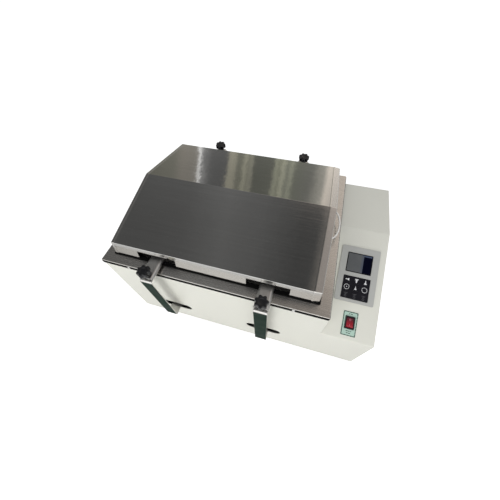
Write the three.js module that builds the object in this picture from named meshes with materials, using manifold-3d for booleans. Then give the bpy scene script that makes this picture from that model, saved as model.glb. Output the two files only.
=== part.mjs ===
// Heated benchtop shaking bath: a stainless bath let into a painted cabinet, a gabled lift-off lid,
// a control box with a sloping panel, and a carriage under the bath that swings a flask tray from
// side to side through four outside arms.
//
// Millimetres. The origin is the centre of the footprint on the table. +X points to the control box,
// +Y to the back and +Z up.

import * as THREE from 'three'
import { mergeVertices } from 'three/addons/utils/BufferGeometryUtils.js'
import Module from 'manifold-3d'

const wasm = await Module()
wasm.setup()

// Gaps and cutting
const clearance = 0.3 // between two separate pieces, seated or running
const overrun = 2 // how far a cutter passes the faces that it cuts
const roundSides = 16 // sides of a shaft, bore or disc
const cornerSteps = 1 // curve divisions of a small rounded corner
const wideSteps = 3 // curve divisions of a wide corner, a slot's end or a bend
const leastCorner = 1 // corner radius that is left where an outline moves far inwards

// Cabinet
const cabinetWidth = 686
const cabinetHeight = 286
const cabinetSheet = 1.5
const controlWidth = 125
const controlFrontHeight = 185 // where the sloping panel meets the front face
const panelRun = 267 // how far the sloping panel runs back from the front face
const deckHoleGap = 4 // around the bath's walls, under the rim
const baseSheet = 2
const footHeight = 12
const footRadius = 15
const footTaper = 2.5
const footInset = 42 // from the cabinet's sides to the foot's centre
const footSkirt = 3 // straight band at the foot's top

// Bath with its rim
const bathDepth = 350
const bathEndMargin = 45 // of rim at each end of the bath
const rimSideOverhang = 1 // past the cabinet's left side
const rimFrontOverhang = 1 // past the cabinet's front face
const rimBackOverhang = 19 // past the cabinet's back
const rimControlGap = 2 // from the rim to the control box
const rimRise = 11.5 // from the deck to the rim's top
const rimLip = 4.2 // turned-down edge of the rim
const rimCorner = 2.5
const rimTabWidth = 6
const rimTabInset = 76.5 // from the rim's end to a hold-down tab
const bathSheet = 1.5
const bathHeight = 182
const bathCorner = 25
const gasketProud = 1 // how far the rim gasket shows past the rim's edge
const gasketWidth = 14
const sealWidth = 9
const sealHeight = 2
const sealProud = 2 // how far the lid seal shows past the lid's skirt

// Lid
const lidEndMargin = 26.5 // of rim at each end of the lid
const lidFrontMargin = 26.9 // of rim in front of the lid
const lidBackMargin = 7.9 // of rim behind the lid
const lidOverBath = 28.5 // from the bath's wall to the eave, level
const lidRise = 43 // from the eave to the ridge
const lidSheet = 1.5
const skirtHeight = 34.8
const skirtFlare = 6.6 // how far the skirt leans out at the bottom
const notchWidth = 100
const notchHeight = 24
const notchShiftX = 2 // the notches sit a little to the right of the arms
const capSheet = 1.2
const capLap = 15 // how far an end cap folds over the lid shell
const handleSpan = 92
const handleDepth = 19
const handleWire = 2.2 // radius
const handleHeight = 18 // above the lid's lower edge
const handleFootRadius = 6
const handleFootThickness = 1.6
const handleSteps = 14
const wireSteps = 4 // curve divisions of a wire's round section

// Carriage, arms and hangers
const armInset = 116.75 // from the lid's end to the arm's middle
const armShiftX = -0.75 // of the front pair's middle, from the rim's middle
const rearArmShift = 7 // the rear pair sits this far to the right of the front pair
const armWidth = 31
const armDepth = 26.5 // of the arm's top
const armSheet = 2.5
const armBend = 5 // outer radius of the arm's bends
const armRimGap = 1.9 // from the rim's edge to the arm's top
const armTopAboveRim = 6
const armTongue = 70 // from the arm's outer face, through the slot, onto the carriage
const slotLength = 100
const slotHeight = 34
const slotRise = 88 // centre of the slots above the cabinet's lower edge
const strokeHalf = 10 // travel of the carriage to each side
const hangerWidth = 31
const hangerHeight = 6.5
const hangerSheet = 2
const hangerEdge = 5 // radius of the hanger's turned-down edges
const hangerSetback = 6.5 // from the arm's outer face to the hanger's end
const hangerLegWidth = 20
const hangerWallGap = 11.6 // from the bath's front wall to the middle of a leg
const hangerWebGap = 18 // from the end of the turned-down edges to the middle of the leg
const hangerBend = 8 // middle radius of the hanger's bends
const hangerFoot = 30
const trayRise = 34 // from the bath's floor to the tray's underside
const trayEndGap = 30 // from the bath's end walls to the tray
const trayGapY = 1 // from the tray's edge to the hangers' lower bends
const traySheet = 1.5
const trayLip = 14
const trayCorner = 10
const trayHoleRadius = 17
const trayHoleColumns = 7
const trayHoleRows = 5
const trayHoleMarginX = 43 // from the tray's end to the middle of the first holes
const trayHoleMarginY = 35.9
const trayHoleSides = 8

// Clamp knobs
const knobLobes = 7
const knobRadius = 16
const knobLobeDepth = 3.4
const knobHeight = 14
const knobChamfer = 1.4
const knobHubRadius = 7
const knobHubHeight = 10.7
const knobPointsPerLobe = 4
const studRadius = 4
const studLength = 19
const studGap = 0.5
const nutRadius = 7.5
const nutHeight = 6.5
const nutSides = 6

// Carriage and drive under the bath
const carriageSheet = 3
const carriageGapY = 12.5 // from the cabinet's depth to the carriage's, at the front and the back
const carriageEnd = 25 // past the outermost arm's middle
const carriageCorner = 12
const carriageWindowDepth = 244
const carriageBeam = 70 // middle cross member that holds the yoke slot
const carriageEndBeam = 49.75
const axleFlangeDrop = 36
const axleFlangeSheet = 2.5
const axleRadius = 4
const axleCollarRadius = 6
const axleCollarWidth = 2
const axleInset = 38.75 // from the carriage's end
const rollerRadius = 12
const rollerWidth = 12
const rollerShoulder = 1
const railInset = 55 // from the carriage's edge to the rail's middle
const railReach = 45 // past the axles
const railHeight = 44 // running face above the base plate
const railGroove = 20
const railInnerLip = 6
const railOuterLip = 13
const railSheet = 2
const railFlange = 14
const yokeRollerRadius = 7
const yokeRollerHeight = 9
const yokePlay = 2.4 // each side of the roller in the yoke slot
const yokeEndPlay = 2
const crankPinRadius = 4
const pulleyWidth = 14
const pulleyFlange = 2.7
const pulleyFlangeRise = 5
const crankFloorRadius = 52
const motorFloorRadius = 17
const pulleyRise = 60 // underside of both pulleys above the base plate
const crankShaftRadius = 7.5
const crankShaftLength = 38
const bearingRadius = 22
const bearingFlangeRadius = 38
const bearingFlangeHeight = 6
const bearingDepth = 44
const beltThickness = 4
const motorReach = 220 // from the crank's axis to the motor's axis
const motorRadius = 36
const motorHeight = 44
const motorShoulder = 5
const motorBossRadius = 13
const motorBossHeight = 4
const motorShaftRadius = 4
const motorShaftDepth = 14
const bracketSheet = 3
const bracketRise = 52 // underside of the bracket's top above the base plate
const bracketWidth = 56
const bracketSideGap = 5
const bracketFoot = 14

// Heater, probe and drain
const heaterRadius = 4.2
const heaterRise = 14 // axis above the bath's floor
const heaterBend = 60 // radius of the hairpin
const heaterMargin = 110 // the hairpin's straight legs are this much shorter than the bath
const heaterSteps = 26
const heaterCollarRadius = 8
const heaterCollarWidth = 5
const heaterTail = 14 // past the bath's wall
const heaterStandWidth = 5
const probeRadius = 3
const probeRise = 23
const probeLength = 70
const probeInset = 74.5 // from the bath's back wall
const probeHeadRadius = 6
const drainRise = 12
const drainRadius = 7
const drainBore = 4
const drainNutRadius = 12
const drainNutWidth = 4
const valveRadius = 11
const valveLength = 22
const nozzleRadius = 6
const nozzleLength = 14
const valveStemRadius = 5
const valveStemRise = 17
const valveX = -58 // drain axis from the middle of the footprint
const leverLength = 30
const leverWidth = 9
const leverThickness = 3
const leverHubRadius = 7

// Control panel, measured up the slope from its front edge
const panelShiftX = -1 // of the panel's middle, from the control box's middle
const plateThickness = 3
const plateCorner = 3
const plateSideMargin = 14.5 // beside the keypad
const plateTopMargin = 16.5 // above the window
const plateBottomMargin = 8 // below the keypad
const windowWidth = 61.5
const windowHeight = 51
const windowGap = 10.5 // between the window and the keypad
const windowThickness = 2.5
const windowLedge = 4
const keypadWidth = 65
const keypadHeight = 57
const keypadThickness = 2.8
const keyWidth = 15
const keyHeight = 13.5
const keyCorner = 2
const keyPitchX = 21.5
const keyPitchY = 18.8
const keyThickness = 2.4
const keyStandoff = 0.8 // from the panel to a key's underside
const keyColumns = 3
const keyRows = 2
const labelWidth = 34.5
const labelHeight = 58
const labelRise = 39.5
const labelGap = 22 // between the label and the plate
const labelThickness = 1
const labelCorner = 2
const bezelWidth = 23
const bezelHeight = 31
const bezelShift = 2.5 // the switch sits a little above the label's middle
const bezelThickness = 2
const bezelCorner = 1.5
const switchBodyWidth = 20
const switchBodyHeight = 28
const switchBodyDepth = 20
const switchWall = 1.5
const rockerRadius = 12
const rockerWidth = 16
const rockerTop = THREE.MathUtils.degToRad(30) // angle of the rocker's end edges above its axis
const rockerUnder = THREE.MathUtils.degToRad(-28)
const rockerDish = 4.4 // height of the rocker's middle above its axis
const rockerTilt = THREE.MathUtils.degToRad(10)
const rockerAxisDepth = 0.9 // below the panel's face
const rockerSteps = 4
const rockerPivotRadius = 1.5
const rockerPivotReach = 2 // of a pivot into the rocker
const terminalWidth = 6
const terminalThickness = 0.8
const terminalLength = 9
const boardWidth = 84
const boardHeight = 118
const boardThickness = 1.6
const boardDepth = 14 // underside below the panel's face
const standoffRadius = 3
const standoffInset = 6
const transformerSize = new THREE.Vector3(38, 32, 28)
const relaySize = new THREE.Vector3(16, 20, 15)

// Back of the control box
const inletX = 6 // from the control box's middle
const inletRise = 62
const inletFlangeWidth = 48
const inletFlangeHeight = 50
const inletFlangeThickness = 3
const inletCorner = 3
const inletBodyWidth = 29
const inletBodyHeight = 40
const inletBodyDepth = 26
const socketWidth = 24.5
const socketHeight = 16.5
const socketChamfer = 4.5
const socketDepth = 17
const socketDrop = 8 // of the socket's middle below the inlet's
const socketPinWidth = 2
const socketPinHeight = 4
const socketPinPitch = 7
const socketPinLength = 14
const socketEarthRise = 3
const fuseWidth = 24
const fuseHeight = 9
const fuseDepth = 14
const fuseRise = 11 // of the fuse drawer's middle above the inlet's
const fuseGrip = 1.5
const louvreCount = 8
const louvreLength = 62
const louvreHeight = 4
const louvrePitch = 10
const louvreRise = 150

// Sizes that follow from others, most of them from the cabinet's width and the bath's depth
const rimWidth = cabinetWidth - controlWidth + rimSideOverhang - rimControlGap
const bathWidth = rimWidth - 2 * bathEndMargin
const lidLength = rimWidth - 2 * lidEndMargin
const lidHalfDepth = bathDepth / 2 + lidOverBath // from the ridge to the eave, level
const armSpacing = lidLength - 2 * armInset
const rimDepth = 2 * (lidHalfDepth + skirtFlare) + lidFrontMargin + lidBackMargin
const bathShiftY = (lidFrontMargin - lidBackMargin) / 2 // the bath is set back in the rim
const cabinetDepth = rimDepth - rimFrontOverhang - rimBackOverhang
const carriageDepth = cabinetDepth - 2 * carriageGapY
const carriageHalf = armSpacing / 2 + rearArmShift + carriageEnd
const carriageWindowWidth = carriageHalf - carriageBeam / 2 - carriageEndBeam
const axleSpacing = 2 * (carriageHalf - axleInset)
const railSpacing = carriageDepth - 2 * railInset
const railLength = axleSpacing + 2 * railReach
const trayWidth = bathWidth - 2 * trayEndGap
const heaterLength = bathWidth - heaterMargin
const plateWidth = keypadWidth + 2 * plateSideMargin
const plateHeight = plateTopMargin + windowHeight + windowGap + keypadHeight + plateBottomMargin
const plateRise = labelRise + labelHeight / 2 + labelGap + plateHeight / 2
const keypadRise = plateRise - plateHeight / 2 + plateBottomMargin + keypadHeight / 2
const windowRise = plateRise + plateHeight / 2 - plateTopMargin - windowHeight / 2
const bezelRise = labelRise + bezelShift

// Levels
const cabinetBottom = footHeight
const deckTop = cabinetBottom + cabinetHeight
const baseTop = cabinetBottom + baseSheet
const rimTop = deckTop + rimRise
const rimLipBottom = rimTop - rimLip
const bathFloor = rimTop - bathHeight
const lidBottom = rimTop + sealHeight + 2 * clearance
const eaveTop = lidBottom + skirtHeight
const armTop = rimTop + armTopAboveRim
const slotLevel = cabinetBottom + slotRise
const armBottom = slotLevel - armSheet / 2
const hangerTop = armTop + clearance + hangerHeight
const trayBottom = bathFloor + trayRise
const carriageTop = armBottom - clearance
const carriageBottom = carriageTop - carriageSheet
const railTop = baseTop + clearance + railHeight
const axleLevel = railTop + clearance + rollerRadius
const pulleyBottom = baseTop + pulleyRise
const pulleyTop = pulleyBottom + pulleyWidth

// Plan
const overallWidth = gasketProud + rimSideOverhang + cabinetWidth
const cabinetRight = overallWidth / 2
const cabinetLeft = cabinetRight - cabinetWidth
const controlLeft = cabinetRight - controlWidth
const rimLeft = cabinetLeft - rimSideOverhang
const rimX = rimLeft + rimWidth / 2
const rimFront = -rimDepth / 2
const cabinetFront = rimFront + rimFrontOverhang
const cabinetBack = cabinetFront + cabinetDepth
const panelX = (controlLeft + cabinetRight) / 2 + panelShiftX
const panelAngle = Math.atan2(cabinetHeight - controlFrontHeight, panelRun)
const armFace = rimDepth / 2 + armRimGap + armDepth // outer face of the arms from the middle
const driveX = rimX + armShiftX
const hangerLegReach = armFace - (bathDepth / 2 - bathShiftY - hangerWallGap) // from the arm's outer face
const hangerWebReach = hangerLegReach - hangerWebGap
const trayDepth = 2 * (armFace - hangerLegReach - hangerBend - hangerSheet / 2 - trayGapY)
const knobReach = armDepth / 2 // from the arm's outer face to the clamp knob's axis
const hangers = [
  { name: 'front_left', x: driveX - armSpacing / 2, side: -1 },
  { name: 'front_right', x: driveX + armSpacing / 2, side: -1 },
  { name: 'rear_left', x: driveX - armSpacing / 2 + rearArmShift, side: 1 },
  { name: 'rear_right', x: driveX + armSpacing / 2 + rearArmShift, side: 1 },
]

// Finishes
const finish = (color, roughness, metalness) => (
  new THREE.MeshStandardMaterial({ color, roughness, metalness })
)
const ivoryPaint = finish('#dcdbd2', 0.45, 0.1)
const armGreen = finish('#2c4034', 0.45, 0.2)
const brushedSteel = finish('#9b9a96', 0.35, 0.9)
const darkSteel = finish('#5e5e5d', 0.4, 0.9)
const zincSteel = finish('#a9abad', 0.45, 0.8)
const blackRubber = finish('#161616', 0.8, 0)
const blackPlastic = finish('#1b1b1d', 0.4, 0)
const greyPlastic = finish('#8d9092', 0.5, 0)
const displayGlass = finish('#7b8594', 0.15, 0)
const redPlastic = finish('#c41f26', 0.3, 0)
const mintPlastic = finish('#cfe3d3', 0.5, 0)
const motorPaint = finish('#50555a', 0.5, 0.4)
const boardGreen = finish('#2d6b45', 0.5, 0)
const brassMetal = finish('#b08d4f', 0.35, 0.9)

// Solids

const axisX = new THREE.Vector3(1, 0, 0)
const axisY = new THREE.Vector3(0, 1, 0)
const axisZ = new THREE.Vector3(0, 0, 1)
const profileAlongX = new THREE.Matrix4().makeBasis(axisY, axisZ, axisX)
const profileAlongY = new THREE.Matrix4().makeBasis(axisX, axisZ, axisY.clone().negate())

function solidOf(geometry) {
  const bare = geometry.clone()
  bare.deleteAttribute('normal')
  bare.deleteAttribute('uv')
  const merged = mergeVertices(bare)
  return new wasm.Manifold(new wasm.Mesh({
    numProp: 3,
    vertProperties: Float32Array.from(merged.attributes.position.array),
    triVerts: Uint32Array.from(merged.index.array),
  }))
}

function geometryOf(solid) {
  const mesh = solid.getMesh()
  const geometry = new THREE.BufferGeometry()
  geometry.setAttribute('position', new THREE.BufferAttribute(Float32Array.from(mesh.vertProperties), 3))
  geometry.setIndex(new THREE.BufferAttribute(Uint32Array.from(mesh.triVerts), 1))
  geometry.computeVertexNormals()
  return geometry
}

// A block between pairs of limits.
function block([x0, x1], [y0, y1], [z0, z1]) {
  const geometry = new THREE.BoxGeometry(x1 - x0, y1 - y0, z1 - z0)
  geometry.translate((x0 + x1) / 2, (y0 + y1) / 2, (z0 + z1) / 2)
  return solidOf(geometry)
}

// Limits around a middle, and limits given in either order.
const around = (middle, size) => [middle - size / 2, middle + size / 2]
const between = (a, b) => [Math.min(a, b), Math.max(a, b)]

function extruded(shape, depth, curveSegments) {
  return new THREE.ExtrudeGeometry(shape, { depth, bevelEnabled: false, curveSegments })
}

// A shape drawn in (x, y), pushed up from z0 to z1.
function prismZ(shape, [z0, z1], steps = cornerSteps) {
  return solidOf(extruded(shape, z1 - z0, steps).translate(0, 0, z0))
}

// A shape drawn in (y, z), pushed right from x0 to x1.
function prismX(shape, [x0, x1], steps = cornerSteps) {
  return solidOf(extruded(shape, x1 - x0, steps).applyMatrix4(profileAlongX).translate(x0, 0, 0))
}

// A shape drawn in (x, z), pushed back from y0 to y1.
function prismY(shape, [y0, y1], steps = cornerSteps) {
  return solidOf(extruded(shape, y1 - y0, steps).applyMatrix4(profileAlongY).translate(0, y1, 0))
}

function roundedRectangle([x0, x1], [y0, y1], radius) {
  const shape = new THREE.Shape()
  shape.absarc(x1 - radius, y0 + radius, radius, -Math.PI / 2, 0)
  shape.absarc(x1 - radius, y1 - radius, radius, 0, Math.PI / 2)
  shape.absarc(x0 + radius, y1 - radius, radius, Math.PI / 2, Math.PI)
  shape.absarc(x0 + radius, y0 + radius, radius, Math.PI, (3 * Math.PI) / 2)
  return shape
}

const outlineOf = (points) => new THREE.Shape(points.map(([x, y]) => new THREE.Vector2(x, y)))

// A round bar from one point on its axis to another level, along X, Y or Z.
function roundBar(radius, axis, [from, to], [a, b], sides = roundSides) {
  const geometry = new THREE.CylinderGeometry(radius, radius, to - from, sides)
  const middle = (from + to) / 2
  if (axis === axisX) geometry.rotateZ(-Math.PI / 2).translate(middle, a, b)
  if (axis === axisY) geometry.translate(a, middle, b)
  if (axis === axisZ) geometry.rotateX(Math.PI / 2).translate(a, b, middle)
  return solidOf(geometry)
}

// A turned piece on the Z axis from [radius, level] pairs, the first and last on the axis.
function turned(pairs) {
  const geometry = new THREE.LatheGeometry(pairs.map(([r, z]) => new THREE.Vector2(r, z)), roundSides)
  return solidOf(geometry.rotateX(Math.PI / 2))
}

// A round wire along a curve.
function wire(curve, radius, steps) {
  const section = new THREE.Shape()
  section.absarc(0, 0, radius, 0, 2 * Math.PI)
  const options = { steps, extrudePath: curve, curveSegments: wireSteps, bevelEnabled: false }
  return solidOf(new THREE.ExtrudeGeometry(section, options))
}

// The same path moved sideways, to the left of its direction, with mitred corners.
function offsetPath(points, distance) {
  const normals = points.slice(1).map(([x, y], i) => {
    const edge = new THREE.Vector2(x - points[i][0], y - points[i][1]).normalize()
    return new THREE.Vector2(-edge.y, edge.x)
  })
  return points.map(([x, y], i) => {
    const before = normals[Math.max(i - 1, 0)]
    const after = normals[Math.min(i, normals.length - 1)]
    const mitre = before.clone().add(after).divideScalar(1 + before.dot(after))
    return [x + mitre.x * distance, y + mitre.y * distance]
  })
}

// A sheet's section: the space between a path and the same path moved sideways.
function sheetSection(points, from, to) {
  return outlineOf([...offsetPath(points, to), ...offsetPath(points, from).reverse()])
}

// A path with its inner corners rounded.
function filletedPath(points, radius) {
  const path = [points[0]]
  for (let i = 1; i < points.length - 1; i++) {
    const corner = new THREE.Vector2(...points[i])
    const back = new THREE.Vector2(...points[i - 1]).sub(corner).normalize()
    const ahead = new THREE.Vector2(...points[i + 1]).sub(corner).normalize()
    const half = Math.acos(THREE.MathUtils.clamp(back.dot(ahead), -1, 1)) / 2
    const inward = back.clone().add(ahead).normalize()
    const centre = corner.clone().addScaledVector(inward, radius / Math.sin(half))
    const start = corner.clone().addScaledVector(back, radius / Math.tan(half)).sub(centre)
    const end = corner.clone().addScaledVector(ahead, radius / Math.tan(half)).sub(centre)
    const sweep = Math.atan2(start.x * end.y - start.y * end.x, start.dot(end))
    for (let step = 0; step <= wideSteps; step++) {
      const point = start.clone().rotateAround(new THREE.Vector2(), (sweep * step) / wideSteps).add(centre)
      path.push([point.x, point.y])
    }
  }
  path.push(points[points.length - 1])
  return path
}

function piece(parent, name, solid, material) {
  const mesh = new THREE.Mesh(geometryOf(solid), material)
  mesh.name = name
  parent.add(mesh)
  return mesh
}

const group = new THREE.Group()

// Sloping panel: x across, y up the slope from the front edge, z out of the panel.
const panel = new THREE.Group()
panel.position.set(panelX, cabinetFront, cabinetBottom + controlFrontHeight)
panel.rotation.x = panelAngle
panel.updateMatrix()
group.add(panel)
const onPanel = (solid) => solidOf(geometryOf(solid).applyMatrix4(panel.matrix))

// Cabinet

// Side outline of the control box, moved inwards by a distance.
function controlOutline(inset) {
  const corners = [
    [cabinetFront, cabinetBottom],
    [cabinetBack, cabinetBottom],
    [cabinetBack, deckTop],
    [cabinetFront + panelRun, deckTop],
    [cabinetFront, cabinetBottom + controlFrontHeight],
    [cabinetFront, cabinetBottom],
    [cabinetBack, cabinetBottom],
  ]
  return offsetPath(corners, inset).slice(1, -1)
}

function armSlots() {
  return hangers.map(({ x, side }) => {
    const slot = roundedRectangle(around(x, slotLength), around(slotLevel, slotHeight), slotHeight / 2)
    const wall = side < 0 ? cabinetFront : cabinetBack
    return prismY(slot, around(wall, 2 * (cabinetSheet + overrun)), wideSteps)
  })
}

function rearLouvres() {
  return Array.from({ length: louvreCount }, (_, i) => {
    const level = cabinetBottom + louvreRise + i * louvrePitch
    const slot = roundedRectangle(around(panelX, louvreLength), around(level, louvreHeight), louvreHeight / 2)
    return prismY(slot, around(cabinetBack, 2 * (cabinetSheet + overrun)))
  })
}

function cabinetShell() {
  const sides = [cabinetFront + cabinetSheet, cabinetBack - cabinetSheet]
  const bathBay = block([cabinetLeft, controlLeft], [cabinetFront, cabinetBack], [cabinetBottom, deckTop])
  const controlBox = prismX(outlineOf(controlOutline(0)), [controlLeft - cabinetSheet, cabinetRight])
  const bayHollow = block(
    [cabinetLeft + cabinetSheet, controlLeft - cabinetSheet],
    sides,
    [cabinetBottom - overrun, deckTop - cabinetSheet],
  )
  const boxHollow = prismX(
    outlineOf(controlOutline(cabinetSheet)),
    [controlLeft - cabinetSheet - overrun, cabinetRight - cabinetSheet],
  )
  const floorHole = block(
    [controlLeft - cabinetSheet - overrun, cabinetRight - cabinetSheet],
    sides,
    [cabinetBottom - overrun, cabinetBottom + cabinetSheet + overrun],
  )
  const deckHole = prismZ(
    bathOutline(bathSheet + deckHoleGap), around(deckTop, 2 * (cabinetSheet + overrun)), wideSteps,
  )
  const throughPanel = [-cabinetSheet - overrun, overrun]
  const windowHole = onPanel(block(
    around(0, windowWidth - 2 * windowLedge),
    around(windowRise, windowHeight - 2 * windowLedge),
    throughPanel,
  ))
  const switchHole = onPanel(block(
    around(0, switchBodyWidth + 2 * clearance),
    around(bezelRise, switchBodyHeight + 2 * clearance),
    throughPanel,
  ))
  const throughBack = around(cabinetBack, 2 * (cabinetSheet + overrun))
  const inletHole = block(
    around(inletCentre, inletBodyWidth + 2 * clearance),
    throughBack,
    around(cabinetBottom + inletRise, inletBodyHeight + 2 * clearance),
  )
  const drainHole = roundBar(drainRadius + 2 * clearance, axisY, throughBack, [valveX, drainLevel])
  const cutters = [
    bayHollow, boxHollow, floorHole, deckHole, windowHole, switchHole, inletHole, drainHole,
    ...armSlots(), ...rearLouvres(),
  ]
  return cutters.reduce((shell, cutter) => shell.subtract(cutter), bathBay.add(controlBox))
}

function basePlate() {
  const gap = cabinetSheet + clearance
  return block(
    [cabinetLeft + gap, cabinetRight - gap],
    [cabinetFront + gap, cabinetBack - gap],
    [cabinetBottom, baseTop],
  )
}

function foot() {
  const top = footHeight - clearance
  return turned([
    [0, 0],
    [footRadius - footTaper, 0],
    [footRadius, top - footSkirt],
    [footRadius, top],
    [0, top],
  ])
}

// Bath and seals

// Plan outline of the bath's inner wall, moved outwards by a distance.
function bathOutline(outset) {
  return roundedRectangle(
    around(rimX, bathWidth + 2 * outset),
    around(bathShiftY, bathDepth + 2 * outset),
    bathCorner + outset,
  )
}

// Plan outline of the rim, moved outwards by a distance.
function rimOutline(outset) {
  return roundedRectangle(
    around(rimX, rimWidth + 2 * outset),
    around(0, rimDepth + 2 * outset),
    Math.max(rimCorner + outset, leastCorner),
  )
}

// Hold-down tabs on the long sides of the rim, grown by a gap where they cut the gasket.
function rimTabs(gap) {
  return [-1, 1].flatMap((end) => [-1, 1].map((side) => block(
    around(rimX + end * (rimWidth / 2 - rimTabInset), rimTabWidth + 2 * gap),
    around((side * (rimDepth - bathSheet)) / 2, bathSheet + 2 * gap),
    [deckTop + clearance - gap, rimTop - bathSheet / 2],
  )))
}

const bathRight = rimX + bathWidth / 2
const bathBack = bathShiftY + bathDepth / 2
const probeY = bathBack - probeInset
const heaterLevel = bathFloor + heaterRise
const probeLevel = bathFloor + probeRise
const drainLevel = bathFloor + drainRise
const inletCentre = (controlLeft + cabinetRight) / 2 + inletX

function bath() {
  const rim = prismZ(rimOutline(0), [rimTop - bathSheet, rimTop])
  const lip = prismZ(rimOutline(0), [rimLipBottom, rimTop - bathSheet / 2])
    .subtract(prismZ(rimOutline(-bathSheet), [rimLipBottom - overrun, rimTop]))
  const walls = prismZ(bathOutline(bathSheet), [bathFloor - bathSheet, rimTop - bathSheet / 2], wideSteps)
  const hollow = prismZ(bathOutline(0), [bathFloor, rimTop + overrun], wideSteps)
  const throughEnd = around(bathRight, 2 * (bathSheet + overrun))
  const heaterHoles = [-1, 1].map((leg) => (
    roundBar(heaterRadius + clearance, axisX, throughEnd, [bathShiftY + leg * heaterBend, heaterLevel])
  ))
  const probeHole = roundBar(probeRadius + clearance, axisX, throughEnd, [probeY, probeLevel])
  const drainHole = roundBar(
    drainRadius + clearance, axisY, around(bathBack, 2 * (bathSheet + overrun)), [valveX, drainLevel],
  )
  const whole = [lip, walls, ...rimTabs(0)].reduce((sum, part) => sum.add(part), rim)
  return [hollow, ...heaterHoles, probeHole, drainHole].reduce((sum, cutter) => sum.subtract(cutter), whole)
}

function rimGasket() {
  const levels = [deckTop + clearance, rimLipBottom - clearance]
  const ring = prismZ(rimOutline(gasketProud), levels)
    .subtract(prismZ(rimOutline(-gasketWidth), [levels[0] - overrun, levels[1] + overrun]))
  return rimTabs(clearance).reduce((sum, tab) => sum.subtract(tab), ring)
}

function lidSeal() {
  const levels = [rimTop + clearance, rimTop + clearance + sealHeight]
  const ring = (inset) => roundedRectangle(
    around(rimX, lidLength + 2 * (sealProud - inset)),
    around(bathShiftY, 2 * (lidHalfDepth + skirtFlare + sealProud - inset)),
    rimCorner,
  )
  return prismZ(ring(0), levels)
    .subtract(prismZ(ring(sealWidth), [levels[0] - overrun, levels[1] + overrun]))
}

// Lid

// The lid's outer section in (y, z), from the front skirt's lower edge over the ridge to the back's.
const lidPath = [
  [bathShiftY - lidHalfDepth - skirtFlare, lidBottom],
  [bathShiftY - lidHalfDepth, eaveTop],
  [bathShiftY, eaveTop + lidRise],
  [bathShiftY + lidHalfDepth, eaveTop],
  [bathShiftY + lidHalfDepth + skirtFlare, lidBottom],
]

function lidShell() {
  const length = lidLength - 2 * (capSheet + clearance)
  const sheet = prismX(sheetSection(lidPath, -lidSheet, 0), around(rimX, length))
  const notches = hangers.map(({ x, side }) => block(
    around(x + notchShiftX, notchWidth),
    around(bathShiftY + side * (lidHalfDepth + skirtFlare / 2), skirtFlare + 2 * (lidSheet + overrun)),
    [lidBottom - overrun, lidBottom + notchHeight],
  ))
  return notches.reduce((shell, notch) => shell.subtract(notch), sheet)
}

// An end cap: a gable plate whose edge folds over the lid shell. side is -1 at the left, 1 at the right.
function lidEnd(side) {
  const outer = rimX + (side * lidLength) / 2
  const reach = (depth) => between(outer, outer - side * depth)
  const plate = prismX(outlineOf(offsetPath(lidPath, clearance + capSheet)), reach(capSheet))
  const fold = prismX(sheetSection(lidPath, clearance, clearance + capSheet), reach(capLap))
  return plate.add(fold)
}

class HandleBow extends THREE.Curve {
  getPoint(share, target = new THREE.Vector3()) {
    const turn = Math.PI * share
    return target.set(handleDepth * Math.sin(turn), (-handleSpan / 2) * Math.cos(turn), 0)
  }
}

// A wire handle on a lid end, drawn on the plane x = 0 and bowing to +X.
function lidHandle() {
  const bow = wire(new HandleBow(), handleWire, handleSteps)
  const feet = [-1, 1].map((end) => (
    roundBar(handleFootRadius, axisX, [0, handleFootThickness], [(end * handleSpan) / 2, 0])
  ))
  const trimmed = bow.subtract(block([-handleDepth, 0], around(0, 2 * handleSpan), around(0, handleDepth)))
  return feet.reduce((sum, part) => sum.add(part), trimmed)
}

// Arms, hangers and knobs: drawn for the front, with y = 0 on the arm's outer face.

function arm() {
  const middle = armSheet / 2
  const path = filletedPath([
    [armDepth, armTop - middle], [middle, armTop - middle],
    [middle, armBottom + middle], [armTongue, armBottom + middle],
  ], armBend - middle)
  const strip = prismX(sheetSection(path, -middle, middle), around(0, armWidth))
  const nutLevels = [armTop - armSheet - nutHeight, armTop - middle]
  const nut = roundBar(nutRadius, axisZ, nutLevels, [0, knobReach], nutSides)
  const bore = roundBar(
    studRadius + studGap, axisZ, [nutLevels[0] - overrun, armTop + overrun], [0, knobReach],
  )
  return strip.add(nut).subtract(bore)
}

function hangerChannel() {
  const half = hangerWidth / 2
  const inner = hangerEdge - hangerSheet
  const shape = new THREE.Shape()
  shape.moveTo(half, 0)
  shape.absarc(half - hangerEdge, hangerHeight - hangerEdge, hangerEdge, 0, Math.PI / 2)
  shape.absarc(hangerEdge - half, hangerHeight - hangerEdge, hangerEdge, Math.PI / 2, Math.PI)
  shape.lineTo(-half, 0)
  shape.lineTo(hangerSheet - half, 0)
  shape.absarc(hangerEdge - half, hangerHeight - hangerEdge, inner, Math.PI, Math.PI / 2, true)
  shape.absarc(half - hangerEdge, hangerHeight - hangerEdge, inner, Math.PI / 2, 0, true)
  shape.lineTo(half - hangerSheet, 0)
  return prismY(shape, [hangerSetback, hangerWebReach]).translate([0, 0, hangerTop - hangerHeight])
}

function hanger() {
  const level = hangerTop - hangerSheet / 2
  const footLevel = trayBottom - clearance - hangerSheet / 2
  const path = filletedPath([
    [hangerWebReach - hangerEdge, level],
    [hangerLegReach, level],
    [hangerLegReach, footLevel],
    [hangerLegReach + hangerFoot, footLevel],
  ], hangerBend)
  const strip = prismX(sheetSection(path, -hangerSheet / 2, hangerSheet / 2), around(0, hangerLegWidth))
  const bore = roundBar(
    studRadius + studGap, axisZ, [hangerTop - hangerHeight - overrun, hangerTop + overrun], [0, knobReach],
  )
  return hangerChannel().add(strip).subtract(bore)
}

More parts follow.
